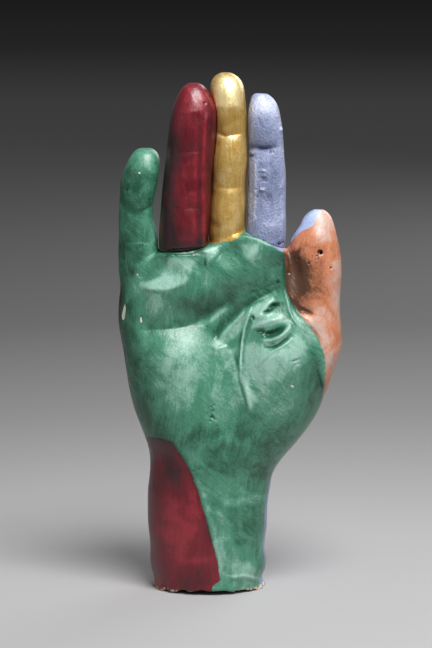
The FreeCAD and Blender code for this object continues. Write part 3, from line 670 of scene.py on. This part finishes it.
def prism(outline_mm, low_mm=-DEPTH_MM, high_mm=DEPTH_MM):
    """A block with that outline seen from the front, from low to high front to back."""
    form = bmesh.new()
    rim = [form.verts.new((x * MM, low_mm * MM, z * MM)) for x, z in outline_mm]
    face = form.faces.new(rim)
    pulled = bmesh.ops.extrude_face_region(form, geom=[face])
    moved = [e for e in pulled["geom"] if isinstance(e, bmesh.types.BMVert)]
    bmesh.ops.translate(form, vec=(0, (high_mm - low_mm) * MM, 0), verts=moved)
    bmesh.ops.recalc_face_normals(form, faces=form.faces)
    return link("cutter", mesh_from(form, "cutter"))


def carved(mesh, cutter, operation):
    """The mesh with the cutter taken away or with only what both hold."""
    thing = link("carved", mesh)
    result = applied(thing, "BOOLEAN", object=cutter, operation=operation, solver="MANIFOLD")
    bpy.data.objects.remove(thing)
    bpy.data.objects.remove(cutter)
    return result


class Skin:
    """A skin's points in millimetres, where they are seen, and its normals."""

    def __init__(self, mesh):
        self.mesh = mesh
        self.points = self.read("co") / MM
        self.normals = self.read("normal")
        self.seen = seen(self.points)

    def read(self, key):
        """That vector of each of the mesh's points."""
        flat = np.empty(len(self.mesh.vertices) * 3)
        self.mesh.vertices.foreach_get(key, flat)
        return flat.reshape(-1, 3)

    def outside(self, tree):
        """1 where a ray to the front or to the back gets away from the body, 0 inside the hollow."""
        start = (self.points + self.normals * CLEAR_MM) * MM
        free = np.zeros(len(start))
        for n, place in enumerate(start):
            for way in ((0, -1, 0), (0, 1, 0)):
                if tree.ray_cast(Vector(place), Vector(way))[0] is None:
                    free[n] = 1
                    break
        return free

    def write(self, moved):
        """Puts the moved points, kept inside the frame's box, into the mesh."""
        low, high = (np.array(corner) / MM for corner in cad_box)
        moved = np.clip(moved, low + BOX_MARGIN_MM, high - BOX_MARGIN_MM)
        self.mesh.vertices.foreach_set("co", (moved * MM).ravel())
        self.mesh.update()


def tree_of(mesh):
    """The mesh as a tree that rays can be cast at."""
    return BVHTree.FromPolygons([v.co[:] for v in mesh.vertices], [p.vertices[:] for p in mesh.polygons])


def lumps(points, wide):
    """Noise from about -1 to 1, the same each time, with lumps about that many millimetres wide."""
    return np.array([noise.noise(Vector(p)) for p in points / wide])


def touch(points):
    """Soft unevenness that hands leave, broad lumps with finer ones on them."""
    heights = np.zeros(len(points))
    for wide, share in TOUCHES:
        heights += share * lumps(points, wide)
    return heights


def modelled(nodes):
    """One skin over the nodes with folds, pads and the marks of hands pressed into it."""
    mesh = remeshed(nodes)
    skin = Skin(mesh)
    free = skin.outside(tree_of(mesh))
    turned = skin.normals[:, 1]
    front = free * smooth_step(-turned, *FACING)
    back = free * smooth_step(turned, *FACING)
    broad, fine = front_relief(skin.seen)
    height = front * (broad + fine) * sizes().relief
    height += back * back_relief(skin.points[:, [0, 2]]) * sizes().relief
    height += free * touch(skin.points) * sizes().hand_touch / MM
    lip = smooth_step(-skin.points[:, 2], -LIP_MM, 0)
    height += free * lip * LIP_LUMP_MM * lumps(skin.points, LIP_LUMP_WIDE_MM)
    skin.write(skin.points + skin.normals * height[:, None])
    return mesh


def shell_skin():
    """A copy of the skin of palm, back, little finger, middle finger and thumb, modelled in one go."""
    if "shell" not in skins:
        mesh = modelled(("palm_shell", "back_shell", "little_finger", "middle_finger", "thumb"))
        skins["shell"] = mesh
        skins["tree"] = tree_of(mesh)
    return skins["shell"].copy()


# Where each paint lies

# Millimetres at which the paint changes on the sides, on the back, and behind little finger and thumb. On the
# side, lavender's edge goes from the first y, at the first z and below, to the second.
SIDE_MM = {"left": -20.0, "right": 20.0, "crimson_y": -4.0, "lavender_y": (-5.5, 1.5),
           "lavender_z": (50.0, 92.0)}
BACK_MM = {"lavender_from": -6.0, "gold": (-1.0, 18.0), "gold_from": 150.0}
BEHIND_MM = {"little": 1.0, "thumb": 2.0}
ZONE_REACH_PX = 16
# Wavering of a line painted by hand: how far, over what length, and its share at the side and at the tips
WAVE_MM = 3.5
WAVE_LONG_MM = 22.0
STRIP_WAVE_SHARE = 0.5
TIP_WAVE_SHARE = 0.6
# How much a place faces front, from -1 to 1, where its painted shade and highlights start and where they are
# full
PAINTED_LIGHT_FACING = (-0.1, 0.3)
# How far heights paint shade into dips and highlights onto raised places, per millimetre, and the least and
# the most that they do
BROAD_PAINTED_LIGHT = (0.2, -0.35, 0.4)
FINE_PAINTED_LIGHT = (1.5, -0.9, 1.3)
NO_CHIP_MM = -2.0


def painted_light_at(places):
    """Painted highlights and, below zero, painted shade, from the patches."""
    painted_light = np.zeros(len(places))
    for amount, soft, outline in SHADE_AND_HIGHLIGHT_PATCHES:
        inside = inside_by(places, outline, soft / PX_MM) * PX_MM
        painted_light += amount * smooth_step(inside, -soft, soft)
    return painted_light


def painted_light_by(height, per_mm, least, most):
    """Painted shade in a dip and painted highlight on a raised place, from its height."""
    return np.clip(height * per_mm, least, most)


def waves(skin):
    """Wavering of a line painted by hand, in millimetres."""
    return WAVE_MM * lumps(skin.points, WAVE_LONG_MM)


def zone(skin, name):
    """Millimetres that each point lies inside a front paint's outline."""
    return inside_by(skin.seen, ZONES[name], ZONE_REACH_PX) * PX_MM


def palm_zones(skin):
    """As the other zones: millimetres that each point lies inside each paint over the piece's base paint."""
    x, y, z = skin.points.T
    side = np.minimum(y - SIDE_MM["crimson_y"], SIDE_MM["left"] - x)
    strip = np.minimum(y - np.interp(z, SIDE_MM["lavender_z"], SIDE_MM["lavender_y"]), x - SIDE_MM["right"])
    return {"crimson": np.maximum(zone(skin, "crimson"), side + waves(skin)),
            "lavender": np.maximum(zone(skin, "lavender"), strip + waves(skin) * STRIP_WAVE_SHARE),
            "gold": zone(skin, "gold"), "orange": zone(skin, "orange")}


def back_zones(skin):
    x, y, z = skin.points.T
    left, right = BACK_MM["gold"]
    tongue = np.minimum.reduce((x - left, right - x, z - BACK_MM["gold_from"]))
    return {"lavender": x - BACK_MM["lavender_from"] + waves(skin), "gold": tongue + waves(skin)}


def behind(skin, digit):
    """Millimetres that each point lies behind the edge of the paint on that digit's back."""
    return skin.points[:, 1] - BEHIND_MM[digit] + waves(skin) * TIP_WAVE_SHARE


def palm_green(skin, name):
    """Millimetres that each front point lies in the palm's green, outside that paint's outline."""
    return np.minimum(-zone(skin, name), -skin.points[:, 1])


def little_zones(skin):
    return {"crimson": np.maximum(zone(skin, "tip"), behind(skin, "little"))}


def ring_zones(skin):
    """The ring finger has one paint all over."""
    return {}


def middle_zones(skin):
    return {"green": palm_green(skin, "gold")}


def index_zones(skin):
    return {"green": palm_green(skin, "lavender")}


def thumb_zones(skin):
    return {"green": palm_green(skin, "orange"),
            "blue": np.maximum(zone(skin, "blue"), behind(skin, "thumb"))}


def note(mesh, name, values):
    """Writes one value per point into the mesh."""
    layer = mesh.attributes.new(name, "FLOAT", "POINT")
    layer.data.foreach_set("value", values.astype(np.float32))


def noted(mesh, zones, hollow=False):
    """Writes where each paint lies, its painted shade and highlights, and where chips and bare clay are, into
    the mesh.
    """
    skin = Skin(mesh)
    front = smooth_step(-skin.normals[:, 1], *PAINTED_LIGHT_FACING)
    broad, fine = front_relief(skin.seen)
    # Painted shade in folds, dips and pits, and painted highlights on pads and ridges, from the marks'
    # heights
    heights = painted_light_by(broad, *BROAD_PAINTED_LIGHT) + painted_light_by(fine, *FINE_PAINTED_LIGHT)
    # Written with the patches' painted highlights and shade, on places that face front
    note(mesh, "painted_light", front * (painted_light_at(skin.seen) + heights))
    chip = np.full(len(skin.points), NO_CHIP_MM)
    for outline in CHIPS:
        chip = np.maximum(chip, inside_by(skin.seen, outline, CHIP_REACH_PX) * PX_MM)
    note(mesh, "chip", np.where(skin.points[:, 1] < 0, chip, NO_CHIP_MM))
    note(mesh, "bare", 1 - skin.outside(skins["tree"]) if hollow else np.zeros(len(skin.points)))
    for name, inside in zones(skin).items():
        note(mesh, name, inside)
    return mesh


# Paints

# What a paint is made of: colours of its body, its dark and its pale places, how much brush strokes show,
# the two ways they run in degrees from upright, their length for their width, roughness, metal and height
Paint = namedtuple("Paint", "body dark pale streaks turn cross stretch roughness metal thickness")
# A paint's dark colour also carries painted shade, and its pale colour painted highlights
PAINTS = {
    "green": Paint("green", "green_dark", "green_pale", 0.8, 52.0, -8.0, 5.0, 0.40, 0.0, 0.09),
    "crimson": Paint("crimson", "crimson_dark", "crimson_pale", 0.6, 0.0, 3.0, 9.0, 0.40, 0.0, 0.06),
    "gold": Paint("gold", "gold_dark", "gold_pale", 0.7, 3.0, -2.0, 8.0, 0.38, 0.55, 0.08),
    "lavender": Paint("lavender", "lavender_dark", "lavender_pale", 0.6, 0.0, 25.0, 2.0, 0.50, 0.0, 0.26),
    "orange": Paint("orange", "orange_dark", "orange_pale", 0.6, -18.0, 40.0, 3.0, 0.40, 0.0, 0.08),
    "blue": Paint("blue", "lavender_dark", "lavender_pale", 0.5, 20.0, 50.0, 3.0, 0.46, 0.0, 0.08),
}
Coat = namedtuple("Coat", "colour rough height metal")

# Noise patterns: scale per millimetre, detail, distortion, roughness
PATTERNS = {
    "areas": (0.045, 1.0, 0.5, 0.5),
    "Strokes": (0.34, 3.0, 0.6, 0.5),
    "Hairs": (1.2, 2.0, 0.3, 0.5),
    "Blotches": (0.085, 5.0, 0.8, 0.5),
    "Grain": (1.1, 3.0, 0.0, 0.5),
    "edge": (0.55, 4.0, 0.0, 0.5),
    "flecks": (0.9, 4.0, 0.0, 0.7),
    "soil": (0.25, 6.0, 0.0, 0.5),
}
# Parts of a pattern's range that are spread over 0 to 1: for marks, and for where strokes change their way
MARK_RANGE = (0.28, 0.72)
AREA_RANGE = (0.42, 0.58)

# How much each mark turns a coat's colour, by brush and by mottling, its roughness and its height
BRUSH_SHARES = {"Strokes": 0.30, "Hairs": 0.17}
SPOT_SHARES = {"Blotches": 0.40, "Grain": 0.16}
ROUGH_SHARES = {"Blotches": 0.14, "Hairs": 0.08, "Grain": 0.08}
HEIGHT_SHARES = {"Strokes": 1.0, "Hairs": 0.5, "Grain": 0.5}
# Share of the painted shade and highlights in a coat's level
PAINTED_LIGHT_SHARE = 0.5
# Levels between which a coat goes from its dark colour to its body, and from its body to its pale colour
DARK_LEVELS = (-0.60, 0.05)
PALE_LEVELS = (-0.05, 0.62)

# Edge of a coat, in millimetres inside it: where it covers, where its lip rises and sinks, and its height
COVER_MM = (-0.22, 0.22)
RISING_MM = (-0.3, 0.1)
SINKING_MM = (0.2, 1.4)
EDGE_LIP_MM = 0.06
FRAY_MM = 1.2
BACK_FRAY_MM = 2.5

# Wear: heights between which flecks get rarer, and how much likelier they are below, levels of the patterns
# that make a fleck, soil and clay in flecks, a chip's edge, and the roughness and depth of worn places
FLECKED_MM = (0.6, 4.0)
FLECKED_MORE = 0.30
FLECK_LEVELS = (0.745, 0.775)
SOIL_LEVELS = (0.35, 0.65)
GROUND_LEVELS = (0.4, 0.6)
CHIPPED_MM = (-0.12, 0.12)
WORN_ROUGHNESS = 0.8
WORN_MM = 0.08

# Varnish over the paint, and bare clay: grain that shows as chalk, roughness, and the grain's height
VARNISH_WEIGHT = 0.25
VARNISH_ROUGHNESS = 0.28
CHALKY_GRAIN = (0.6, 1.0)
CLAY_ROUGHNESS = (0.72, 0.9)
CLAY_GRAIN_MM = 0.08


def feed(tree, socket, value):
    """Puts a value, or another node's output, into a socket."""
    if isinstance(value, bpy.types.NodeSocket):
        tree.links.new(value, socket)
    else:
        socket.default_value = value


def add(tree, kind, inputs=(), **settings):
    """A new node; inputs are pairs of a socket and the value or output that goes into it."""
    node = tree.nodes.new(f"ShaderNode{kind}")
    for key, value in settings.items():
        setattr(node, key, value)
    for socket, value in inputs:
        feed(tree, node.inputs[socket], value)
    return node


def maths(tree, operation, *values):
    return add(tree, "Math", tuple(enumerate(values)), operation=operation).outputs[0]


def between(tree, value, low, high, start=0.0, end=1.0):
    """The value turned smoothly from start, at low, to end, at high."""
    pairs = (("Value", value), ("From Min", low), ("From Max", high), ("To Min", start), ("To Max", end))
    return add(tree, "MapRange", pairs, interpolation_type="SMOOTHSTEP").outputs["Result"]


def blended(tree, share, first, second, kind="RGBA"):
    """First where share is 0, second where it is 1."""
    inputs, output = {"FLOAT": ((0, 2, 3), 0), "RGBA": ((0, 6, 7), 2)}[kind]
    pairs = zip(inputs, (share, first, second))
    return add(tree, "Mix", pairs, data_type=kind, clamp_factor=True).outputs[output]


def pattern(tree, place, name):
    """The noise pattern of that name, from 0 to 1."""
    pairs = zip(("Scale", "Detail", "Distortion", "Roughness"), PATTERNS[name])
    return add(tree, "TexNoise", (("Vector", place), *pairs)).outputs["Fac"]


def attribute(tree, name):
    return add(tree, "Attribute", attribute_name=name).outputs["Fac"]


def use(tree, name, inputs):
    """Places the group of that name in a tree and returns its outputs."""
    return add(tree, "Group", inputs, node_tree=bpy.data.node_groups[name]).outputs


def brush_marks(tree, given):
    """Marks of a brush: broad strokes and the hairs' fine lines, both from 0 to 1."""
    upright = maths(tree, "DIVIDE", 1.0, given["Stretch"])
    scale = add(tree, "CombineXYZ", (("X", 1.0), ("Y", 1.0), ("Z", upright))).outputs[0]
    ways = []
    for angle in ("Turn", "Cross"):
        way = add(tree, "CombineXYZ", (("Y", maths(tree, "RADIANS", given[angle])),)).outputs[0]
        pairs = (("Vector", given["Place"]), ("Rotation", way))
        turned = add(tree, "VectorRotate", pairs, rotation_type="EULER_XYZ").outputs[0]
        ways.append(add(tree, "VectorMath", ((0, turned), (1, scale)), operation="MULTIPLY").outputs[0])
    share = between(tree, pattern(tree, given["Place"], "areas"), *AREA_RANGE)
    marks = {}
    for mark in ("Strokes", "Hairs"):
        mixed = blended(tree, share, *(pattern(tree, way, mark) for way in ways), "FLOAT")
        marks[mark] = between(tree, mixed, *MARK_RANGE)
    return marks


def mottling(tree, given):
    """Blotches and grain, both from 0 to 1."""
    return {mark: between(tree, pattern(tree, given["Place"], mark), *MARK_RANGE)
            for mark in ("Blotches", "Grain")}


def with_marks(tree, value, marks, shares):
    """The value with each mark's share added."""
    for mark, share in shares.items():
        value = maths(tree, "MULTIPLY_ADD", marks[mark], share, value)
    return value


def coat_of_paint(tree, given):
    """One brushed coat: its colour, roughness and height in millimetres, darker with painted shade and paler
    with painted highlights as its light input says.
    """
    brush = use(tree, "brush marks", ((key, given[key]) for key in ("Place", "Turn", "Cross", "Stretch")))
    spots = use(tree, "mottling", (("Place", given["Place"]),))
    marks = {socket.name: maths(tree, "SUBTRACT", socket, 0.5) for socket in (*brush, *spots)}
    brushed = maths(tree, "MULTIPLY", with_marks(tree, 0.0, marks, BRUSH_SHARES), given["Streaks"])
    level = with_marks(tree, brushed, marks, SPOT_SHARES)
    # Painted shade and highlights pull the level towards the dark and the pale colour
    level = maths(tree, "MULTIPLY_ADD", given["Painted light"], PAINTED_LIGHT_SHARE, level)
    colour = blended(tree, between(tree, level, *DARK_LEVELS), given["Dark"], given["Body"])
    colour = blended(tree, between(tree, level, *PALE_LEVELS), colour, given["Pale"])
    relief = with_marks(tree, 0.0, marks, HEIGHT_SHARES)
    return {"Color": colour, "Roughness": with_marks(tree, given["Roughness"], marks, ROUGH_SHARES),
            "Height": maths(tree, "MULTIPLY", relief, given["Thickness"])}


def coat_edge(tree, given):
    """How much of a coat covers a place, and the lip where it ends, from the millimetres inside it."""
    frayed = maths(tree, "SUBTRACT", pattern(tree, given["Place"], "edge"), 0.5)
    inside = maths(tree, "MULTIPLY_ADD", frayed, given["Fray"], given["Inside"])
    sinking = between(tree, inside, *SINKING_MM, 1.0, 0.0)
    lip = maths(tree, "MULTIPLY", between(tree, inside, *RISING_MM), sinking)
    return {"Cover": between(tree, inside, *COVER_MM), "Lip": maths(tree, "MULTIPLY", lip, EDGE_LIP_MM)}


def wear(tree, given):
    """Chalk in chips, bare clay inside, and flecks of worn paint along the foot's lip and here and there."""
    height = add(tree, "SeparateXYZ", (("Vector", given["Place"]),)).outputs["Z"]
    low = between(tree, height, *FLECKED_MM, FLECKED_MORE, 0.0)
    flecks = maths(tree, "ADD", pattern(tree, given["Place"], "flecks"), low)
    fleck = between(tree, flecks, *FLECK_LEVELS)
    chip = between(tree, given["Chip"], *CHIPPED_MM)
    soil = pattern(tree, given["Place"], "soil")
    clay = blended(tree, between(tree, soil, *SOIL_LEVELS), given["Clay"], given["Soil"])
    ground = blended(tree, between(tree, soil, *GROUND_LEVELS), given["Chalk"], given["Clay"])
    colour = blended(tree, chip, blended(tree, fleck, given["Color"], ground), given["Chalk"])
    worn = maths(tree, "MAXIMUM", fleck, chip)
    off = maths(tree, "MAXIMUM", worn, given["Bare"])
    return {"Color": blended(tree, given["Bare"], colour, clay),
            "Roughness": blended(tree, off, given["Roughness"], WORN_ROUGHNESS, "FLOAT"),
            "Height": maths(tree, "MULTIPLY_ADD", worn, -WORN_MM, given["Height"])}


# The node groups that the paints share: what builds each, and its inputs
GROUPS = {
    "brush marks": (brush_marks, ("Place", "Turn", "Cross", "Stretch")),
    "mottling": (mottling, ("Place",)),
    "coat of paint": (coat_of_paint, ("Place", "Painted light", "Body", "Dark", "Pale", "Streaks", "Turn", "Cross",
                                      "Stretch", "Roughness", "Thickness")),
    "coat edge": (coat_edge, ("Place", "Inside", "Fray")),
    "wear": (wear, ("Place", "Color", "Roughness", "Height", "Chip", "Bare", "Chalk", "Clay", "Soil")),
}
# Kinds of the sockets that aren't plain values
SOCKETS = {"Place": "NodeSocketVector"}
SOCKETS.update(dict.fromkeys(("Color", "Body", "Dark", "Pale", "Chalk", "Clay", "Soil"), "NodeSocketColor"))


def make_groups():
    """Makes the node groups that the paints share."""
    for name, (build, inputs) in GROUPS.items():
        tree = bpy.data.node_groups.new(name, "ShaderNodeTree")
        for key in inputs:
            tree.interface.new_socket(key, in_out="INPUT", socket_type=SOCKETS.get(key, "NodeSocketFloat"))
        made = build(tree, tree.nodes.new("NodeGroupInput").outputs)
        for key in made:
            tree.interface.new_socket(key, in_out="OUTPUT", socket_type=SOCKETS.get(key, "NodeSocketFloat"))
        out = tree.nodes.new("NodeGroupOutput")
        for key, value in made.items():
            feed(tree, out.inputs[key], value)


def new_material(name):
    """A material, its tree, its shader and places on it in millimetres."""
    material = bpy.data.materials.new(name)
    material.use_nodes = True
    tree = material.node_tree
    place = add(tree, "TexCoord").outputs["Object"]
    scaled = add(tree, "VectorMath", ((0, place), ("Scale", 1 / MM)), operation="SCALE").outputs[0]
    return material, tree, tree.nodes["Principled BSDF"], scaled


def dress(tree, shader, colour, rough, height):
    """Feeds the shader's colour and roughness, and its normal by a height in millimetres."""
    bump = add(tree, "Bump", (("Distance", MM), ("Height", height), ("Strength", 1.0)))
    tree.links.new(colour, shader.inputs["Base Color"])
    tree.links.new(rough, shader.inputs["Roughness"])
    tree.links.new(bump.outputs["Normal"], shader.inputs["Normal"])


def coat(tree, place, painted_light, name):
    """One coat of a paint."""
    kind = PAINTS[name]
    outputs = use(tree, "coat of paint", (
        ("Place", place), ("Painted light", painted_light), ("Body", paint(kind.body)), ("Dark", paint(kind.dark)),
        ("Pale", paint(kind.pale)), ("Streaks", kind.streaks), ("Turn", kind.turn), ("Cross", kind.cross),
        ("Stretch", kind.stretch), ("Roughness", kind.roughness), ("Thickness", kind.thickness)))
    return Coat(outputs["Color"], outputs["Roughness"], outputs["Height"], kind.metal)


def painted(name, base, overlays, fray=FRAY_MM):
    """A material of one paint under others, each where the attribute of its name is above zero."""
    material, tree, shader, place = new_material(name)
    # Painted shade and highlights of the front, read from the mesh
    painted_light = attribute(tree, "painted_light")
    colour, rough, height, metal = coat(tree, place, painted_light, base)
    for kind in overlays:
        over = coat(tree, place, painted_light, kind)
        edge = use(tree, "coat edge", (("Place", place), ("Inside", attribute(tree, kind)), ("Fray", fray)))
        colour = blended(tree, edge["Cover"], colour, over.colour)
        rough = blended(tree, edge["Cover"], rough, over.rough, "FLOAT")
        height = maths(tree, "ADD", blended(tree, edge["Cover"], height, over.height, "FLOAT"), edge["Lip"])
        if metal != over.metal:
            metal = blended(tree, edge["Cover"], metal, over.metal, "FLOAT")
    worn = use(tree, "wear", (
        ("Place", place), ("Color", colour), ("Roughness", rough), ("Height", height),
        ("Chip", attribute(tree, "chip")), ("Bare", attribute(tree, "bare")), ("Chalk", paint("chalk")),
        ("Clay", paint("clay")), ("Soil", paint("soil"))))
    dress(tree, shader, worn["Color"], worn["Roughness"], worn["Height"])
    feed(tree, shader.inputs["Metallic"], metal)
    shader.inputs["Coat Weight"].default_value = VARNISH_WEIGHT
    shader.inputs["Coat Roughness"].default_value = VARNISH_ROUGHNESS
    return material


def bare_clay():
    """Unpainted clay, rubbed with a finger."""
    material, tree, shader, place = new_material("bare clay")
    spots = use(tree, "mottling", (("Place", place),))
    colour = blended(tree, spots["Blotches"], paint("clay"), paint("clay_rubbed"))
    colour = blended(tree, between(tree, spots["Grain"], *CHALKY_GRAIN), colour, paint("chalk"))
    rough = between(tree, spots["Grain"], 0.0, 1.0, *CLAY_ROUGHNESS)
    dress(tree, shader, colour, rough, maths(tree, "MULTIPLY", spots["Grain"], CLAY_GRAIN_MM))
    return material


# Edges that turn more than this are where a piece was cut from its neighbour
CUT_EDGE_DEG = 68.0


def finish_piece(name, mesh, material, slot, *nodes):
    """Turns a mesh into a piece that stands for its nodes."""
    for polygon in mesh.polygons:
        polygon.use_smooth = True
    mesh.set_sharp_from_angle(angle=math.radians(CUT_EDGE_DEG))
    piece = link(name, mesh)
    mesh.materials.clear()
    mesh.materials.append(material)
    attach(piece, "root")
    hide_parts(*nodes)


# Operators


class HAND_OT_shells(bpy.types.Operator):
    """Makes the front and back of the hand's body"""

    bl_idname = "hand.shells"
    bl_label = "Palm and back"

    def execute(self, context):
        make_groups()
        body = shell_skin()
        for outline in WEDGES_MM.values():
            body = carved(body, prism(outline), "DIFFERENCE")
        front = thinned(carved(body.copy(), prism(BODY_MM, high_mm=0), "INTERSECT"))
        back = thinned(carved(body, prism(BODY_MM, low_mm=0), "INTERSECT"))
        front = noted(front, palm_zones, hollow=True)
        back = noted(back, back_zones, hollow=True)
        material = painted("palm paint", "green", ("crimson", "lavender", "gold", "orange"))
        finish_piece("palm", front, material, "green_clay", "palm_shell")
        material = painted("back paint", "crimson", ("lavender", "gold"), BACK_FRAY_MM)
        finish_piece("back", back, material, "back_clay", "back_shell")
        return {"FINISHED"}


# Each digit's base paint, the paints over it and where those lie
DIGITS = {
    "little": ("green", ("crimson",), little_zones),
    "ring": ("crimson", (), ring_zones),
    "middle": ("gold", ("green",), middle_zones),
    "index": ("lavender", ("green",), index_zones),
    "thumb": ("orange", ("blue", "green"), thumb_zones),
}


class HAND_OT_digits(bpy.types.Operator):
    """Makes the four fingers and the thumb"""

    bl_idname = "hand.digits"
    bl_label = "Digits"

    def execute(self, context):
        for digit, (base, overlays, zones) in DIGITS.items():
            node = "thumb" if digit == "thumb" else f"{digit}_finger"
            if digit in WEDGES_MM:
                mesh = carved(shell_skin(), prism(WEDGES_MM[digit]), "INTERSECT")
            else:
                mesh = modelled((node,))
            material = painted(f"{digit} paint", base, overlays)
            slot = "little_clay" if digit == "little" else f"{base}_clay"
            finish_piece(f"{digit}_skin", noted(mesh, zones), material, slot, node)
        return {"FINISHED"}


class HAND_OT_joins(bpy.types.Operator):
    """Gives the clay rings and coils inside the hand their bare clay"""

    bl_idname = "hand.joins"
    bl_label = "Rings and coils of clay"

    def execute(self, context):
        material = bare_clay()
        for name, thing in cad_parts.items():
            if name.endswith(("_lute", "_coil")):
                thing.data.materials.clear()
                thing.data.materials.append(material)
        return {"FINISHED"}


class HAND_OT_stage(bpy.types.Operator):
    """Lays the floor and sets up light and camera"""

    bl_idname = "hand.stage"
    bl_label = "Stage"

    def execute(self, context):
        scene = context.scene
        scene.view_settings.view_transform = "Standard"
        make_floor()
        make_lamps()
        make_world(scene)
        make_camera(scene)
        return {"FINISHED"}


# The stage, in metres. The floor carries a painted pool of light, bright round the hand and darkening far
# off: its shades are shares of its reach from the middle, and their brightness.
FLOOR_RADIUS = 40.0
FLOOR_SEGMENTS = 96
FLOOR_REACH = 8.0
FLOOR_ROUGHNESS = 0.9
FLOOR_SHEEN = 0.1
FLOOR_GREEN_SHARE = 0.985
FLOOR_LIGHT_POOL = (
    (0.0, 0.42), (0.02, 0.41), (0.06, 0.275), (0.11, 0.175), (0.20, 0.155), (0.38, 0.155), (0.55, 0.048),
    (0.8, 0.013), (1.0, 0.008),
)
# Lamps that shine at one place: name, place, width and height, watts
LIT_PLACE = (0.0, 0.0, 0.14)
LAMPS = (
    ("key", (0.30, -0.62, 1.25), (0.7, 0.6), 25),
    ("fill", (-1.2, -0.9, 0.5), (1.2, 1.2), 1.2),
    ("rear", (0.9, 1.3, 0.9), (1.0, 1.0), 10),
)
WORLD_STRENGTH = 0.2
SENSOR_MM = 36.0
SIGHT_END = 100.0


def make_floor():
    form = bmesh.new()
    bmesh.ops.create_circle(form, cap_ends=True, segments=FLOOR_SEGMENTS, radius=FLOOR_RADIUS)
    floor = link("floor", mesh_from(form, "floor"))
    material = bpy.data.materials.new("floor with painted pool of light")
    material.use_nodes = True
    tree = material.node_tree
    place = add(tree, "TexCoord").outputs["Object"]
    # Painted pool of light: the floor's colour darkens with its distance from the hand
    length = add(tree, "VectorMath", ((0, place),), operation="LENGTH").outputs["Value"]
    reach = add(tree, "MapRange", (("From Max", FLOOR_REACH), ("Value", length))).outputs["Result"]
    ramp = add(tree, "ValToRGB", (("Fac", reach),))
    elements = ramp.color_ramp.elements
    while len(elements) < len(FLOOR_LIGHT_POOL):
        elements.new(0.5)
    for element, (at, level) in zip(elements, FLOOR_LIGHT_POOL):
        element.position = at
        element.color = (level, level * FLOOR_GREEN_SHARE, level, 1)
    shader = tree.nodes["Principled BSDF"]
    shader.inputs["Roughness"].default_value = FLOOR_ROUGHNESS
    shader.inputs["Specular IOR Level"].default_value = FLOOR_SHEEN
    tree.links.new(ramp.outputs["Color"], shader.inputs["Base Color"])
    floor.data.materials.append(material)


def aimed(place, target):
    """The turn that makes a lamp or camera at a place look at a target."""
    return (Vector(target) - Vector(place)).to_track_quat("-Z", "Y").to_euler()


def make_lamps():
    for name, place, size, watts in LAMPS:
        lamp = bpy.data.lights.new(name, "AREA")
        lamp.shape = "RECTANGLE"
        lamp.size, lamp.size_y = size
        lamp.energy = watts
        thing = link(name, lamp)
        thing.location = place
        thing.rotation_euler = aimed(place, LIT_PLACE)


def make_world(scene):
    world = bpy.data.worlds.new("studio")
    world.use_nodes = True
    background = world.node_tree.nodes["Background"]
    background.inputs["Color"].default_value = (1, 1, 1, 1)
    background.inputs["Strength"].default_value = WORLD_STRENGTH
    scene.world = world


def make_camera(scene):
    data = bpy.data.cameras.new("camera")
    data.sensor_fit = "VERTICAL"
    data.sensor_height = SENSOR_MM
    data.lens = FOCAL_PX * SENSOR_MM / PICTURE[1]
    data.clip_end = SIGHT_END
    camera = link("camera", data)
    place = eye()[0] * MM
    camera.location = place
    camera.rotation_euler = aimed(place, [c * MM for c in AIM_MM])
    scene.camera = camera


class HAND_PT_panel(bpy.types.Panel):
    """Lists the hand's pieces, sizes and colours"""

    bl_idname = "HAND_PT_panel"
    bl_label = "Earthenware hand"
    bl_space_type = "VIEW_3D"
    bl_region_type = "UI"
    bl_category = "Hand"

    def draw(self, context):
        for operator in OPERATORS:
            self.layout.operator(operator.bl_idname)
        for group in (context.scene.hand_sizes, context.scene.hand_colours):
            for key in group.__annotations__:
                self.layout.prop(group, key)


OPERATORS = (HAND_OT_shells, HAND_OT_digits, HAND_OT_joins, HAND_OT_stage)
CLASSES = (HandSizes, HandColours, *OPERATORS, HAND_PT_panel)


def register():
    for cls in CLASSES:
        bpy.utils.register_class(cls)
    bpy.types.Scene.hand_sizes = PointerProperty(type=HandSizes)
    bpy.types.Scene.hand_colours = PointerProperty(type=HandColours)


def unregister():
    del bpy.types.Scene.hand_colours
    del bpy.types.Scene.hand_sizes
    for cls in reversed(CLASSES):
        bpy.utils.unregister_class(cls)


def main():
    register()
    bpy.ops.hand.shells()
    bpy.ops.hand.digits()
    bpy.ops.hand.joins()
    bpy.ops.hand.stage()


if __name__ == "__main__":
    main()
